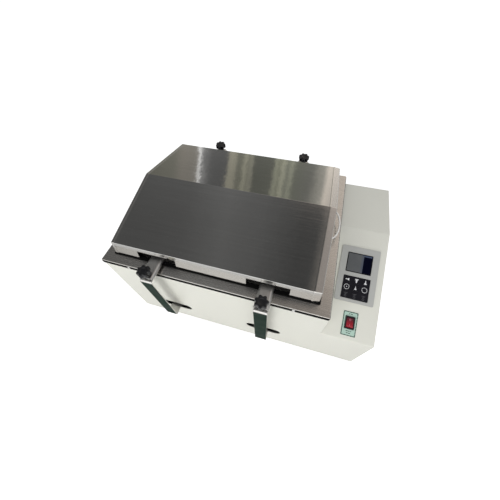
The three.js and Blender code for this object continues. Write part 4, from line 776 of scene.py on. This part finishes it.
grey_plate = coated("panel_grey", (0.44, 0.445, 0.43), 0.45, tone=(15, 0.15), pebble=(1200, 0.00003))
keypad_black = coated("keypad_black", (0.006, 0.006, 0.01), 0.45, tone=(40, 0.35), pebble=(1600, 0.00004),
                      Specular_IOR_Level=0.25)
white_ink = coated("white_ink", (0.85, 0.86, 0.88), 0.5, tone=(200, 0.2))
softened("panel_plate", "control_plate", "cabinet", "grey_plastic", grey_plate, 0.0006, 3)
softened("keypad_sheet", "keypad_panel", "cabinet", "black_plastic", keypad_black, 0.0004)

key_top, keypad_top, ink_gap = 0.0032, 0.0031, 0.00005
keypad_rise = 0.127
pitch = np.array([0.0215, 0.0188])
keys = [pitch * [column - 1, 1 - row] + [0, keypad_rise] for row in range(2) for column in range(3)]
up_mark = [bar((0, 0.0062), (0, 0.001), 0.0008, 0.0022), bar((0, 0.0012), (0, -0.0045), 0.002, 0.0068)]
round_mark = ring((0, 0), 0.0062, 0.0009)
marks = [
    [bar((-0.0052, 0), (-0.0014, 0), 0.0022), bar((-0.0016, 0), (0.0036, 0), 0.0014, 0.0072)],
    [bar((0, 0.0048), (0, 0.0022), 0.0094, 0.0078), bar((0, 0.0024), (0, -0.0052), 0.0048, 0.0022)],
    up_mark,
    [round_mark, bar((-0.0015, 0), (0, 0), 0.0004, 0.0026), bar((0, 0), (0.0015, 0), 0.0026, 0.0004)],
    [shape * 0.85 for shape in up_mark],
    [round_mark],
]
for number, (middle, shapes) in enumerate(zip(keys, marks), 1):
    key = f"key_{number}"
    softened(f"{key}_cap", key, key, "black_plastic", keypad_black, 0.0006, 3)
    printed(f"{key}_mark", [shape + middle for shape in shapes], on_panel(key_top + ink_gap), key, white_ink)
faint_ink = coated("faint_ink", (0.09, 0.09, 0.1), 0.5, tone=(200, 0.3))
captions = []
for column in (-1, 0, 1):
    middle = np.array([pitch[0] * column, keypad_rise - pitch[1]])
    for half, rise, width in ((0.005, 0.0035, 0.001), (0.003, 0.001, 0.0009)):
        captions.append(bar(middle + [-half, rise], middle + [half, rise], width))
    captions.append(ring(middle - [0, 0.004], 0.0024, 0.0008, steps=24))
printed("keypad_marks", captions, on_panel(keypad_top + ink_gap), "cabinet", faint_ink)


def panel_coordinates(tree):
    """The place of each point in the panel's own frame: across, up the slope and off it."""
    place = add(tree, "TexCoord").outputs["Object"]
    turn = {"Vector": place, "Location": panel_origin.tolist(), "Rotation": (panel_tilt, 0, 0)}
    framed = add(tree, "Mapping", turn, vector_type="TEXTURE").outputs[0]
    return add(tree, "SeparateXYZ", {"Vector": framed}).outputs


def beyond(tree, value, limit, middle=0.0):
    """1 where a value is further than a limit from a middle, else 0."""
    apart = math_of(tree, "ABSOLUTE", math_of(tree, "SUBTRACT", value, middle))
    return math_of(tree, "GREATER_THAN", apart, limit)


def base_color(material):
    """A material's tree, its shader's colour input and the output that feeds it."""
    socket = material.node_tree.nodes["Principled BSDF"].inputs["Base Color"]
    return material.node_tree, socket, socket.links[0].from_socket


glass = coated("display_glass", (0.118, 0.123, 0.128), 0.1, tone=(25, 0.35), pebble=(60, 0.00001), gloss=0.04,
               Specular_IOR_Level=0.1)
window_rise = 0.1915
tree, socket, slate = base_color(glass)
across_panel, up_panel, _ = panel_coordinates(tree)
rims = beyond(tree, across_panel, 0.0288), beyond(tree, up_panel, 0.0235, window_rise)
right_part = math_of(tree, "GREATER_THAN", across_panel, 0.0092)
under_top = math_of(tree, "LESS_THAN", up_panel, window_rise + 0.0195)
slate = mixed(tree, mapped(tree, across_panel, 0.002, 0.0135), slate, (0.065, 0.085, 0.14, 1))
tinted = mixed(tree, math_of(tree, "MULTIPLY", right_part, under_top), slate, (0.0002, 0.001, 0.009, 1))
tree.links.new(mixed(tree, math_of(tree, "MAXIMUM", *rims), tinted, (0.006, 0.006, 0.008, 1)), socket)
softened("display_pane", "display_window", "cabinet", "display_pane", glass, 0.0003)

mint = coated("mint_label", (0.43, 0.6, 0.52), 0.45, tone=(18, 0.12), pebble=(1200, 0.00002))
green_ink = coated("green_ink", (0.008, 0.04, 0.03), 0.5, tone=(200, 0.4))
softened("switch_label_sheet", "switch_label", "cabinet", "mint_plastic", mint, 0.0003)
label_rise, label_top = 0.0395, 0.00135
label_half = np.array([0.0345, 0.058]) / 2 - 0.0013
border_reach, border_gap, word_gap = 0.0009, 0.0007, 0.0015
dashes = []
for side in (-1, 1):
    for count, along in ((5, 0), (8, 1)):
        stops = np.linspace(-label_half[along] - border_reach, label_half[along] + border_reach, count + 1)
        for start, stop in zip(stops[:-1], stops[1:] - border_gap):
            ends = np.full((2, 2), side * label_half[1 - along])
            ends[:, along] = start, stop
            dashes.append(bar(*(ends + [0, label_rise]), 0.0018))
for rise, widths in ((0.0232, (0.003, 0.004)), (-0.0175, (0.0045, 0.003, 0.002)), (-0.0222, (0.0035, 0.004))):
    at = -(sum(widths) + word_gap * (len(widths) - 1)) / 2
    for width in widths:
        dashes.append(bar((at, label_rise + rise), (at + width, label_rise + rise), 0.0017))
        at += width + word_gap
printed("label_marks", dashes, on_panel(label_top), "cabinet", green_ink, "mint_plastic")
softened("switch_frame", "switch_bezel", "cabinet", "black_plastic", black, 0.0006, 3)

rocker_pivot = panel_origin + 0.042 * up_slope - 0.0009 * off_slope
rocker_tilt = panel_tilt - math.radians(10)
rocker_half, rocker_radius, hollow_half, hollow_low, hollow_depth = 0.008, 0.012, 0.01039, 0.0044, 0.0016


def tipped(x, y, z):
    """Points of the rocker's own frame, turned about its pivot by its tilt at rest."""
    turned_y = y * math.cos(rocker_tilt) - z * math.sin(rocker_tilt)
    turned_z = y * math.sin(rocker_tilt) + z * math.cos(rocker_tilt)
    return rocker_pivot + np.stack(np.broadcast_arrays(x, turned_y, turned_z), -1)


def hollow_height(y):
    """The height of the rocker's hollow top, which grows with the square of the way from its middle."""
    return hollow_low + hollow_depth * (y / hollow_half) ** 2


def on_rocker(flat):
    """Places flat shapes just over the rocker's hollow top."""
    return tipped(flat[..., 0], flat[..., 1], hollow_height(flat[..., 1]) + 0.00006)


end_arc = np.radians(np.linspace(-28, 30, 9))
end_round = rocker_radius * np.column_stack([np.cos(end_arc), np.sin(end_arc)])
hollow = np.linspace(hollow_half, -hollow_half, 17)[1:-1]
outline = np.vstack([end_round, np.column_stack([hollow, hollow_height(hollow)]), end_round[::-1] * [-1, 1]])
rocker_grid = np.stack([tipped(x, outline[:, 0], outline[:, 1]) for x in (-rocker_half, rocker_half)])
# The rocker's faint red emission is a painted glow, standing in for light passing through the plastic.
red = coated("rocker_red", (0.3, 0.006, 0.02), 0.22, tone=(140, 0.7), gloss=0.1, Coat_Weight=0.5,
             Subsurface_Weight=0.1, Emission_Color=(0.5, 0.01, 0.03, 1), Emission_Strength=0.05)
# Painted shade: the rocker's red darkens to near black over its upper half, from 4 to 5 cm up the panel, as
# if that half faced away from the light.
tree, socket, red_before_painted_shade = base_color(red)
_, up_rocker, _ = panel_coordinates(tree)
tree.links.new(mixed(tree, mapped(tree, up_rocker, 0.04, 0.05), red_before_painted_shade, (0.05, 0.004, 0.012, 1)), socket)
pink_ink = coated("pink_ink", (0.75, 0.2, 0.26), 0.4, tone=(200, 0.3))
rocker = place_piece("rocker_cap", solid(rocker_grid), "rocker", "red_plastic", [red], "switch_rocker")
soften(rocker, 0.0007, 3, 30)
along_mark = np.linspace([0, -0.0082], [0, -0.0042], 5)
mark_on = np.stack([along_mark + [0.0005, 0], along_mark - [0.0005, 0]])
mark_off = ring((0, 0.0062), 0.0019, 0.0007, steps=32)
printed("rocker_marks", [mark_on, mark_off], on_rocker, "rocker", pink_ink, "red_plastic")


# The drain: a brass valve screwed through the bath's wall, with a hex nut on each side and a ribbed
# nozzle. Its lever is a steel blade dipped in red vinyl, held by a nut.
def revolved(outline, base, axis="Z", sides=64):
    """A ring: a closed outline of (radius, distance) pairs turned about the axis, and welded where
    its end meets its start."""
    loop = np.vstack([outline, outline[:1]])
    return joined([surface(turned(loop, base, axis, sides), closed=True)], weld=1e-7)


def round_two(first, second, reach, steps=24):
    """The outline round two circles: two tangent lines lean by the angle whose cosine is the
    difference of the radii over the distance, and each circle's arc runs from one to the other."""
    lean = math.acos((first - second) / reach)
    far = np.linspace(lean, 2 * math.pi - lean, 2 * steps)
    near = np.linspace(-lean, lean, steps)
    return np.vstack([
        first * np.column_stack([np.cos(far), np.sin(far)]),
        [reach, 0] + second * np.column_stack([np.cos(near), np.sin(near)]),
    ])


brass = coated("valve_brass", (0.6, 0.4, 0.15), 0.28, 1, tone=(50, 0.35), gloss=0.15)
vinyl = coated("red_vinyl", (0.5, 0.012, 0.012), 0.4, tone=(60, 0.2), pebble=(900, 0.00005))
valve_low, valve_high = span("drain_valve")
valve_x, valve_start, valve_level = (valve_low[0] + valve_high[0]) / 2, valve_low[1], valve_low[2] + 0.012
bore, pipe, sleeve, nozzle = 0.004, 0.007, 0.011, 0.006
stem_along, far_nut = 0.0436, 0.0286
ribs = np.array([[nozzle, 0.057], [nozzle, 0.0586], [0.0049, 0.0588]] * 3)
ribs[:, 1] += np.repeat([0, 0.0035, 0.007], 3)
valve_outline = np.vstack([
    [[bore, 0], [pipe - 0.0005, 0], [pipe, 0.0005], [pipe, 0.0326], [sleeve - 0.001, 0.0326]],
    [[sleeve, 0.0336], [sleeve, 0.0536], [sleeve - 0.001, 0.0546], [0.0052, 0.0546], [0.0052, 0.0565]], ribs,
    [[0.0052, 0.0684], [bore, 0.0686]],
])
hexagon = np.array([
    [pipe - 0.001, 0], [0.0112, 0], [0.012, 0.0008], [0.012, 0.0032], [0.0112, 0.004], [pipe - 0.001, 0.004],
])
stem_y, stem_top = valve_start + stem_along, valve_high[2] - valve_level
stem = turned([[0.005, 0], [0.005, stem_top - 0.0006], [0.0044, stem_top]], (valve_x, stem_y, valve_level))
valve_parts = [
    revolved(valve_outline, (valve_x, valve_start, valve_level), "Y"),
    *(revolved(hexagon, (valve_x, valve_start + start, valve_level), "Y", 6) for start in (0, far_nut)),
    solid(stem),
]
valve = place_piece("valve_body", joined(valve_parts), "cabinet", "valve_brass", [brass], "drain_valve")
soften(valve, 0.0002)
lever_low, lever_high = span("drain_lever")[:, 2]
lever_root, lever_tip, lever_reach = 0.007, 0.0044, 0.0255
lever_outline = round_two(lever_root, lever_tip, lever_reach)
lever_mesh = slab(lever_outline, (lever_low, lever_high - 0.0002), (valve_x, stem_y, 0))
lever = place_piece("lever_blade", lever_mesh, "drain_handle", "red_plastic", [vinyl], "drain_lever")
soften(lever, 0.0009, 4)
lever_nut = [[0.0045, 0], [0.0045, 0.0022], [0.0039, 0.0028]]
lever_nut = solid(turned(lever_nut, (valve_x, stem_y, lever_high - 0.0003), sides=6))
soften(place_piece("lever_nut", lever_nut, "drain_handle", "zinc_steel", [zinc]), 0.0002)


# In the bath: a hairpin heater of oxidised stainless tube on two stands, a temperature probe in the
# right wall, and the perforated tray for flasks, pressed from one sheet with a turned-up edge.
dark_stainless = coated("dark_stainless", (0.13, 0.12, 0.11), 0.36, 1, tone=(40, 0.7), gloss=0.2)
heater_low, heater_high = span("heater_element")
rod_level, leg_y, rod, stand_half = heater_high[2] - 0.008, 0.06, 0.0042, 0.0025
bend_x = heater_low[0] + leg_y + rod
half_turn = np.linspace(-math.pi / 2, -3 * math.pi / 2, 41)
leg = np.linspace(heater_high[0], bend_x, 8)[:-1]
hairpin = np.concatenate([
    np.column_stack([leg, np.full(len(leg), -leg_y)]),
    np.column_stack([bend_x + leg_y * np.cos(half_turn), leg_y * np.sin(half_turn)]),
    np.column_stack([leg[::-1], np.full(len(leg), leg_y)]),
]) + [0, bath_middle[1]]
hairpin = at_levels(hairpin[None], rod_level)[0]
heater_parts = [solid(tube(hairpin, rod, (0, 0, 1), 24), flip=True)]
collar, collar_inset = [[0.0074, 0], [0.008, 0.0005], [0.008, 0.0045], [0.0074, 0.005]], 0.0208
for side in (-1, 1):
    leg_middle = bath_middle[1] + side * leg_y
    collar_base = (heater_high[0] - collar_inset, leg_middle, rod_level)
    heater_parts.append(solid(turned(collar, collar_base, "X", 48)))
    heater_parts.append(box_mesh(
        (bend_x - stand_half, leg_middle - stand_half, heater_low[2]),
        (bend_x + stand_half, leg_middle + stand_half, rod_level),
    ))
heater = joined(heater_parts)
heater = place_piece("heater_rod", heater, "cabinet", "dark_stainless", [dark_stainless], "heater_element")
soften(heater, 0.0003)

probe_low, probe_high = span("temperature_probe")
probe_outline = [
    [0.0012, 0], [0.0024, 0.0005], [0.003, 0.0016], [0.003, 0.0718], [0.0056, 0.0718], [0.006, 0.0722],
    [0.006, 0.0851], [0.0056, 0.0855],
]
probe_base = (probe_low[0], *(probe_low + probe_high)[1:] / 2)
probe = solid(turned(probe_outline, probe_base, "X", 40))
place_piece("probe_rod", probe, "cabinet", "brushed_stainless", [hanger_steel], "temperature_probe")


def frame_points(count_x, count_y):
    """Points round the square from -1 to 1, in equal steps along each side."""
    x, y = np.linspace(-1, 1, count_x + 1)[:-1], np.linspace(-1, 1, count_y + 1)[:-1]
    sides = ((x, -1), (1, y), (-x, 1), (-1, -y))
    return np.concatenate([np.column_stack(np.broadcast_arrays(*side)) for side in sides])


def pulled_in(points, half, radius):
    """The square's points on a rectangle, with those near a corner moved along their ray from the
    round corner's middle until they lie on its arc."""
    away = np.abs(points * half) - (half - radius)
    onto_arc = away / np.maximum(np.linalg.norm(away, axis=-1, keepdims=True), 1e-9) * radius
    return np.sign(points) * (half - radius + np.where((away > 0).all(-1, keepdims=True), onto_arc, away))


tray_low, tray_high = span("flask_tray")
tray_middle, tray_half = (tray_low + tray_high)[:2] / 2, (tray_high - tray_low)[:2] / 2
tray_floor, hole_radius, hole_pitch, cell_steps = tray_low[2] + 0.0015, 0.017, 0.054, 6
holes = np.array([7, 5])
square = frame_points(cell_steps, cell_steps)
circle = square / np.linalg.norm(square, axis=-1, keepdims=True)
cell = np.array([circle * hole_radius, circle * 0.0178, circle * 0.0205, square * hole_pitch / 2])
cell_levels = tray_floor - np.array([0.0008, 0, 0, 0])
tray_parts = []
for place in np.ndindex(*holes):
    middle = tray_middle + hole_pitch * (place - (holes - 1) / 2)
    tray_parts.append(surface(at_levels(cell + middle, cell_levels), closed=True, flip=True))
around = frame_points(*cell_steps * holes)
turn_up = np.linspace(0, math.pi / 2, 5)
insets = np.concatenate([[0.0055], 0.0015 + 0.0025 * (1 - np.sin(turn_up)), [0.0015]])
rises = np.concatenate([[0, 0], 0.0025 * (1 - np.cos(turn_up)), [tray_high[2] - tray_floor]])
edge_rings = [pulled_in(around, tray_half - inset, 0.01 - inset) for inset in insets]
edge_rings = np.array([around * holes * hole_pitch / 2, *edge_rings]) + tray_middle
tray_parts.append(surface(at_levels(edge_rings, tray_floor + rises), closed=True, flip=True))
tray_steel = brushed_steel("tray_steel", (0.66, 0.655, 0.64), 0.24, depth=0.25, wave=0.0003)
tray_mesh = joined(tray_parts, weld=1e-6)
tray = place_piece("tray_pan", tray_mesh, "carriage", "brushed_stainless", [tray_steel], "flask_tray")
soften(thicken(tray, 0.0014), 0.0003, 1, 60)


# Under the bath: the carriage is a zinc plated plate with two windows and a yoke slot. It rolls on
# nylon rollers along two folded rails, and a belt-driven crank pushes it.
softened("carriage_plate", "carriage_frame", "carriage", "zinc_steel", zinc, 0.0005)
wheel = np.array([
    [0.0043, -0.006], [0.0062, -0.006], [0.0066, -0.0048], [0.0092, -0.0048], [0.0096, -0.006],
    [0.011, -0.006], [0.0117, -0.0057], [0.012, -0.005],
])
wheel = np.vstack([wheel, wheel[::-1] * [1, -1]])
for row in ("front", "rear"):
    softened(f"rail_{row}", f"guide_rail_{row}", "cabinet", "zinc_steel", zinc, 0.0005)
    for end in ("left", "right"):
        roller = f"roller_{row}_{end}"
        wheel_mesh = revolved(wheel, span(roller).mean(0), "Y")
        place_piece(f"wheel_{row}_{end}", wheel_mesh, roller, "black_plastic", [black], roller)

crank_x, crank_y, _ = span("crank_pulley").mean(0)
pin_y, pulley_level, cam_level = crank_y + 0.01, 0.074, 0.09245
crank_groove, motor_groove = 0.052, 0.017


def pulley_profile(shaft, shaft_start, floor, hub, recess):
    """(radius, level) pairs up a pulley on its shaft: flanges with rounded rims beside the belt's
    groove, and a ring recessed in each face from the hub to the groove's floor."""
    rim = floor + 0.005
    return [
        [shaft - 0.0004, shaft_start], [shaft, shaft_start + 0.0004], [shaft, 0], [hub, 0],
        [hub + 0.0008, recess], [floor - 0.004, recess], [floor - 0.003, 0], [rim - 0.0005, 0],
        [rim, 0.0005], [rim, 0.0018], [floor + 0.0006, 0.0027], [floor, 0.0033], [floor, 0.0107],
        [floor + 0.0006, 0.0113], [rim, 0.0122], [rim, 0.0135], [rim - 0.0005, 0.014], [floor - 0.003, 0.014],
        [floor - 0.004, 0.014 - recess], [hub + 0.0008, 0.014 - recess], [hub, 0.014],
    ]


def standing(profile, x, y, level, sides=96):
    """A turned part that stands on a level, closed at both ends."""
    return solid(turned(profile, (x, y, level), sides=sides))


crank_parts = [
    standing(pulley_profile(0.0075, -0.038, crank_groove, 0.018, 0.002), crank_x, crank_y, pulley_level),
    standing([[0.0067, 0.0113], [0.0067, 0.0178], [0.0064, 0.0181]], crank_x, pin_y, pulley_level, 48),
    standing([[0.004, 0.0113], [0.004, 0.0268], [0.0034, 0.02745]], crank_x, pin_y, pulley_level, 48),
]
place_piece("crank_wheel", joined(crank_parts), "crank", "zinc_steel", [zinc], "crank_pulley")
cam = np.array([[0.0043, 0], [0.0065, 0], [0.007, 0.0005], [0.007, 0.0085], [0.0065, 0.009], [0.0043, 0.009]])
cam_mesh = revolved(cam, (crank_x, pin_y, cam_level))
place_piece("cam_wheel", cam_mesh, "crank", "black_plastic", [black], "cam_roller")
motor_x, motor_floor = span("motor")[:, 0].mean(), span("motor")[0, 2]
small_pulley = pulley_profile(0.004, -0.018, motor_groove, 0.009, 0.0012)
small_pulley = standing(small_pulley, motor_x, crank_y, pulley_level, 64)
place_piece("motor_wheel", small_pulley, "motor_rotor", "zinc_steel", [zinc], "motor_pulley")

belt_section = np.array([
    [0.0003, 0.0040], [0.0014, 0.0031], [0.0036, 0.0030], [0.0043, 0.0036], [0.0043, 0.0104],
    [0.0036, 0.0110], [0.0014, 0.0109], [0.0003, 0.0100], [0.0003, 0.0040],
])
belt_paths = [
    round_two(crank_groove + outset, motor_groove + outset, motor_x - crank_x)
    for outset in belt_section[:, 0]
]
belt_grid = at_levels(np.array(belt_paths) + [crank_x, crank_y], pulley_level + belt_section[:, 1])
belt_mesh = joined([surface(belt_grid, closed=True)], weld=1e-7)
place_piece("belt_loop", belt_mesh, "cabinet", "black_rubber", [rubber], "drive_belt")

enamel = coated("motor_enamel", (0.03, 0.034, 0.04), 0.38, tone=(30, 0.25), Coat_Weight=0.2)
bearing = [
    [0.038, 0], [0.038, 0.0052], [0.0372, 0.006], [0.0235, 0.006], [0.0223, 0.0066], [0.022, 0.008],
    [0.022, 0.0584], [0.021, 0.0594], [0.0078, 0.0594], [0.0078, 0.0155],
]
bearing_floor = span("crank_bearing")[0, 2]
bearing_mesh = standing(bearing, crank_x, crank_y, bearing_floor)
place_piece("bearing_housing", bearing_mesh, "cabinet", "motor_paint", [enamel], "crank_bearing")
can = np.array([
    [0.031, 0], [0.0345, 0.0012], [0.0358, 0.0042], [0.036, 0.0075], [0.036, 0.0085], [0.0352, 0.0088],
    [0.0352, 0.0094], [0.036, 0.0097], [0.036, 0.0115], [0.036, 0.0121], [0.036, 0.0316], [0.036, 0.0322],
    [0.036, 0.034], [0.0352, 0.0343], [0.0352, 0.0349], [0.036, 0.0352], [0.0358, 0.0398], [0.0345, 0.0428],
    [0.031, 0.044], [0.013, 0.044], [0.013, 0.0474], [0.0124, 0.048], [0.0043, 0.048], [0.0043, 0.0342],
])
fins, fin_depth = 40, 0.0016
fin_angle = np.linspace(0, 2 * math.pi, 6 * fins, endpoint=False)
groove = 0.5 - 0.5 * np.tanh(3 * np.cos(fins * fin_angle) + 1.2)
finned = (can[:, 1:] > 0.012) & (can[:, 1:] < 0.032)
can_radius = can[:, :1] - fin_depth * finned * groove
can_grid = np.stack(np.broadcast_arrays(
    motor_x + can_radius * np.cos(fin_angle), crank_y + can_radius * np.sin(fin_angle),
    motor_floor + can[:, 1:],
), -1)
motor = place_piece("motor_can", solid(can_grid), "cabinet", "motor_paint", [enamel], "motor")
soften(motor, 0.0001, 1, 60)
softened("motor_stand", "motor_bracket", "cabinet", "zinc_steel", zinc, 0.0006)


# The floor of the cabinet: a zinc plated plate, screwed in from below, on four rubber feet that are
# each held by a screw in a recess. More screws hold the bearing and the power inlet.
softened("base_sheet", "base_plate", "cabinet", "zinc_steel", zinc, 0.0004)
foot_outline = [
    [0.0052, 0.004], [0.0056, 0.0006], [0.0064, 0], [0.0118, 0], [0.0125, 0.0007], [0.0148, 0.0085],
    [0.015, 0.0093], [0.015, 0.0112], [0.0145, 0.0117],
]
foot_middles = []
for row in ("front", "rear"):
    for end in ("left", "right"):
        x, y, _ = span(f"foot_{row}_{end}").mean(0)
        foot_middles.append((x, y, 0.0042))
        pad = standing(foot_outline, x, y, 0, 64)
        place_piece(f"foot_{row}_{end}_pad", pad, "cabinet", "black_rubber", [rubber], f"foot_{row}_{end}")


def screws(name, places, toward, radius):
    """Pan heads with a cross recess, whose outline is as far from the middle as a bar's end, or as
    the bar's side over the smaller of the angle's sine and cosine, whichever is nearer."""
    angle = np.linspace(0, 2 * math.pi, 48, endpoint=False)
    sine, cosine = np.sin(angle), np.cos(angle)
    side = 0.13 / np.maximum(np.minimum(np.abs(sine), np.abs(cosine)), 1e-6)
    cross = np.minimum(0.55, side)
    reach = np.vstack([*np.outer([1, 1, 0.9, 0.7], np.ones(48)), *np.outer([1, 0.85, 0.3], cross)])
    level = np.array([-0.1, 0.3, 0.5, 0.6, 0.64, 0.2, 0.15])
    grid = radius * np.stack(np.broadcast_arrays(reach * cosine, reach * sine, level[:, None]), -1)
    face_out = Vector(toward).to_track_quat("Z", "Y").to_matrix().to_4x4()
    heads = []
    for place in places:
        head = solid(grid)
        head.transform(Matrix.Translation(place) @ face_out)
        heads.append(head)
    return place_piece(name, joined(heads), "cabinet", "zinc_steel", [zinc])


base_low, base_high = span("base_plate")
border = [(x, y, base_low[2]) for x in np.linspace(base_low[0] + 0.012, base_high[0] - 0.012, 5)
          for y in (base_low[1] + 0.01, base_high[1] - 0.01)]
screws("base_screws", border, (0, 0, -1), 0.0032)
screws("foot_screws", foot_middles, (0, 0, -1), 0.0036)
bolt_circle, bolt_reach = np.radians([45, 135, 225, 315]), 0.03
flange_bolts = [
    (crank_x + bolt_reach * math.cos(bolt), crank_y + bolt_reach * math.sin(bolt), bearing_floor + 0.006)
    for bolt in bolt_circle
]
screws("bearing_screws", flange_bolts, (0, 0, 1), 0.0035)


# The electrics: a board behind the panel with the display, a transformer and two relays, and in the
# back an inlet for a cord with a fuse drawer over it. Pressed louvres let the air out.
laminate = coated("board_laminate", (0.012, 0.11, 0.04), 0.35, tone=(90, 0.3), pebble=(1800, 0.00003))
tree, socket, bare_green = base_color(laminate)
tracks = add(tree, "TexBrick", {
    "Vector": add(tree, "TexCoord").outputs["Object"], "Scale": 90, "Mortar Size": 0.03, "Brick Width": 0.7,
    "Row Height": 0.35,
})
tree.links.new(mixed(tree, tracks.outputs["Fac"], bare_green, (0.05, 0.24, 0.1, 1)), socket)
panel_frame = np.vstack([np.column_stack([[1, 0, 0], up_slope, off_slope, panel_origin]), [0, 0, 0, 1]])
panel_frame = Matrix(panel_frame.tolist())


def under_panel(mesh, material):
    """A part drawn in the panel's frame, put in its place, all of one of the board's materials."""
    mesh.transform(panel_frame)
    mesh.polygons.foreach_set("material_index", np.full(len(mesh.polygons), material))
    return mesh


def block(middle, size, levels):
    """A box about a middle, between two levels."""
    middle, half = np.array(middle), np.array(size) / 2
    return box_mesh((*(middle - half), levels[0]), (*(middle + half), levels[1]))


board_rise, board_size, board_back, board_front = 0.162, (0.084, 0.118), -0.014, -0.0124
green_part, steel_part, dark_part = range(3)
transformer, sunk = (-0.013, 0.1325), board_back + 0.0008
boxes = [
    ((0, board_rise), board_size, (board_back, board_front), green_part),
    ((0, window_rise), (0.0529, 0.0424), (board_front - 0.0008, -0.0003), dark_part),
    (transformer, (0.038, 0.02), (board_back - 0.028, sunk), steel_part),
    (transformer, (0.026, 0.032), (board_back - 0.023, sunk), dark_part),
    ((0.021, board_rise - 0.016), (0.016, 0.02), (board_back - 0.015, sunk), dark_part),
    ((0.021, board_rise + 0.016), (0.016, 0.02), (board_back - 0.015, sunk), dark_part),
]
post = [[0.003, 0], [0.003, 0.0114]]
board_parts = [under_panel(block(*box), part) for *box, part in boxes]
board_parts += [
    under_panel(standing(post, side * 0.036, board_rise + end * 0.053, -0.0132, 32), steel_part)
    for side in (-1, 1) for end in (-1, 1)
]
board = joined(board_parts)
board = place_piece("board", board, "cabinet", "board_laminate", [laminate, zinc, black], "control_board")
soften(board, 0.0004)

softened("inlet_shell", "power_inlet", "cabinet", "black_plastic", black, 0.0005)
softened("fuse_holder", "fuse_drawer", "fuse_drawer", "black_plastic", black, 0.0004)
inlet_x, _, inlet_middle = span("power_inlet").mean(0)
inlet_face = span("power_inlet")[1, 1]
pin_parts = []
for shift, drop in ((-0.007, 0.008), (0, 0.005), (0.007, 0.008)):
    x, z = inlet_x + shift, inlet_middle - drop
    pin_parts.append(box_mesh(
        (x - 0.0011, inlet_face - 0.0171, z - 0.0021), (x + 0.0011, inlet_face - 0.0029, z + 0.0021),
    ))
soften(place_piece("inlet_pins", joined(pin_parts), "cabinet", "zinc_steel", [zinc]), 0.0005, 3)
inlet_ears = [(inlet_x + side * 0.0195, inlet_face, inlet_middle) for side in (-1, 1)]
screws("inlet_screws", inlet_ears, (0, 1, 0), 0.0028)

hood_count, hood_pitch, lowest_hood, hood_half = 8, 0.01, 0.1672, 0.0335
across_hood, down_hood = np.meshgrid(np.linspace(-1, 1, 33), np.linspace(0, math.pi / 2, 9))
swell = np.sqrt(np.clip(1 - np.abs(across_hood) ** 5, 0, 1))
hoods = [surface(np.stack([
    panel_origin[0] + hood_half * across_hood, cabinet_high[1] - 0.0006 + 0.0034 * swell * np.sin(down_hood),
    lowest_hood + hood_pitch * number - 0.0062 * (1 - np.cos(down_hood)),
], -1)) for number in range(hood_count)]
thicken(place_piece("louvre_hoods", joined(hoods), "cabinet", "ivory_paint", [ivory]), 0.0008)
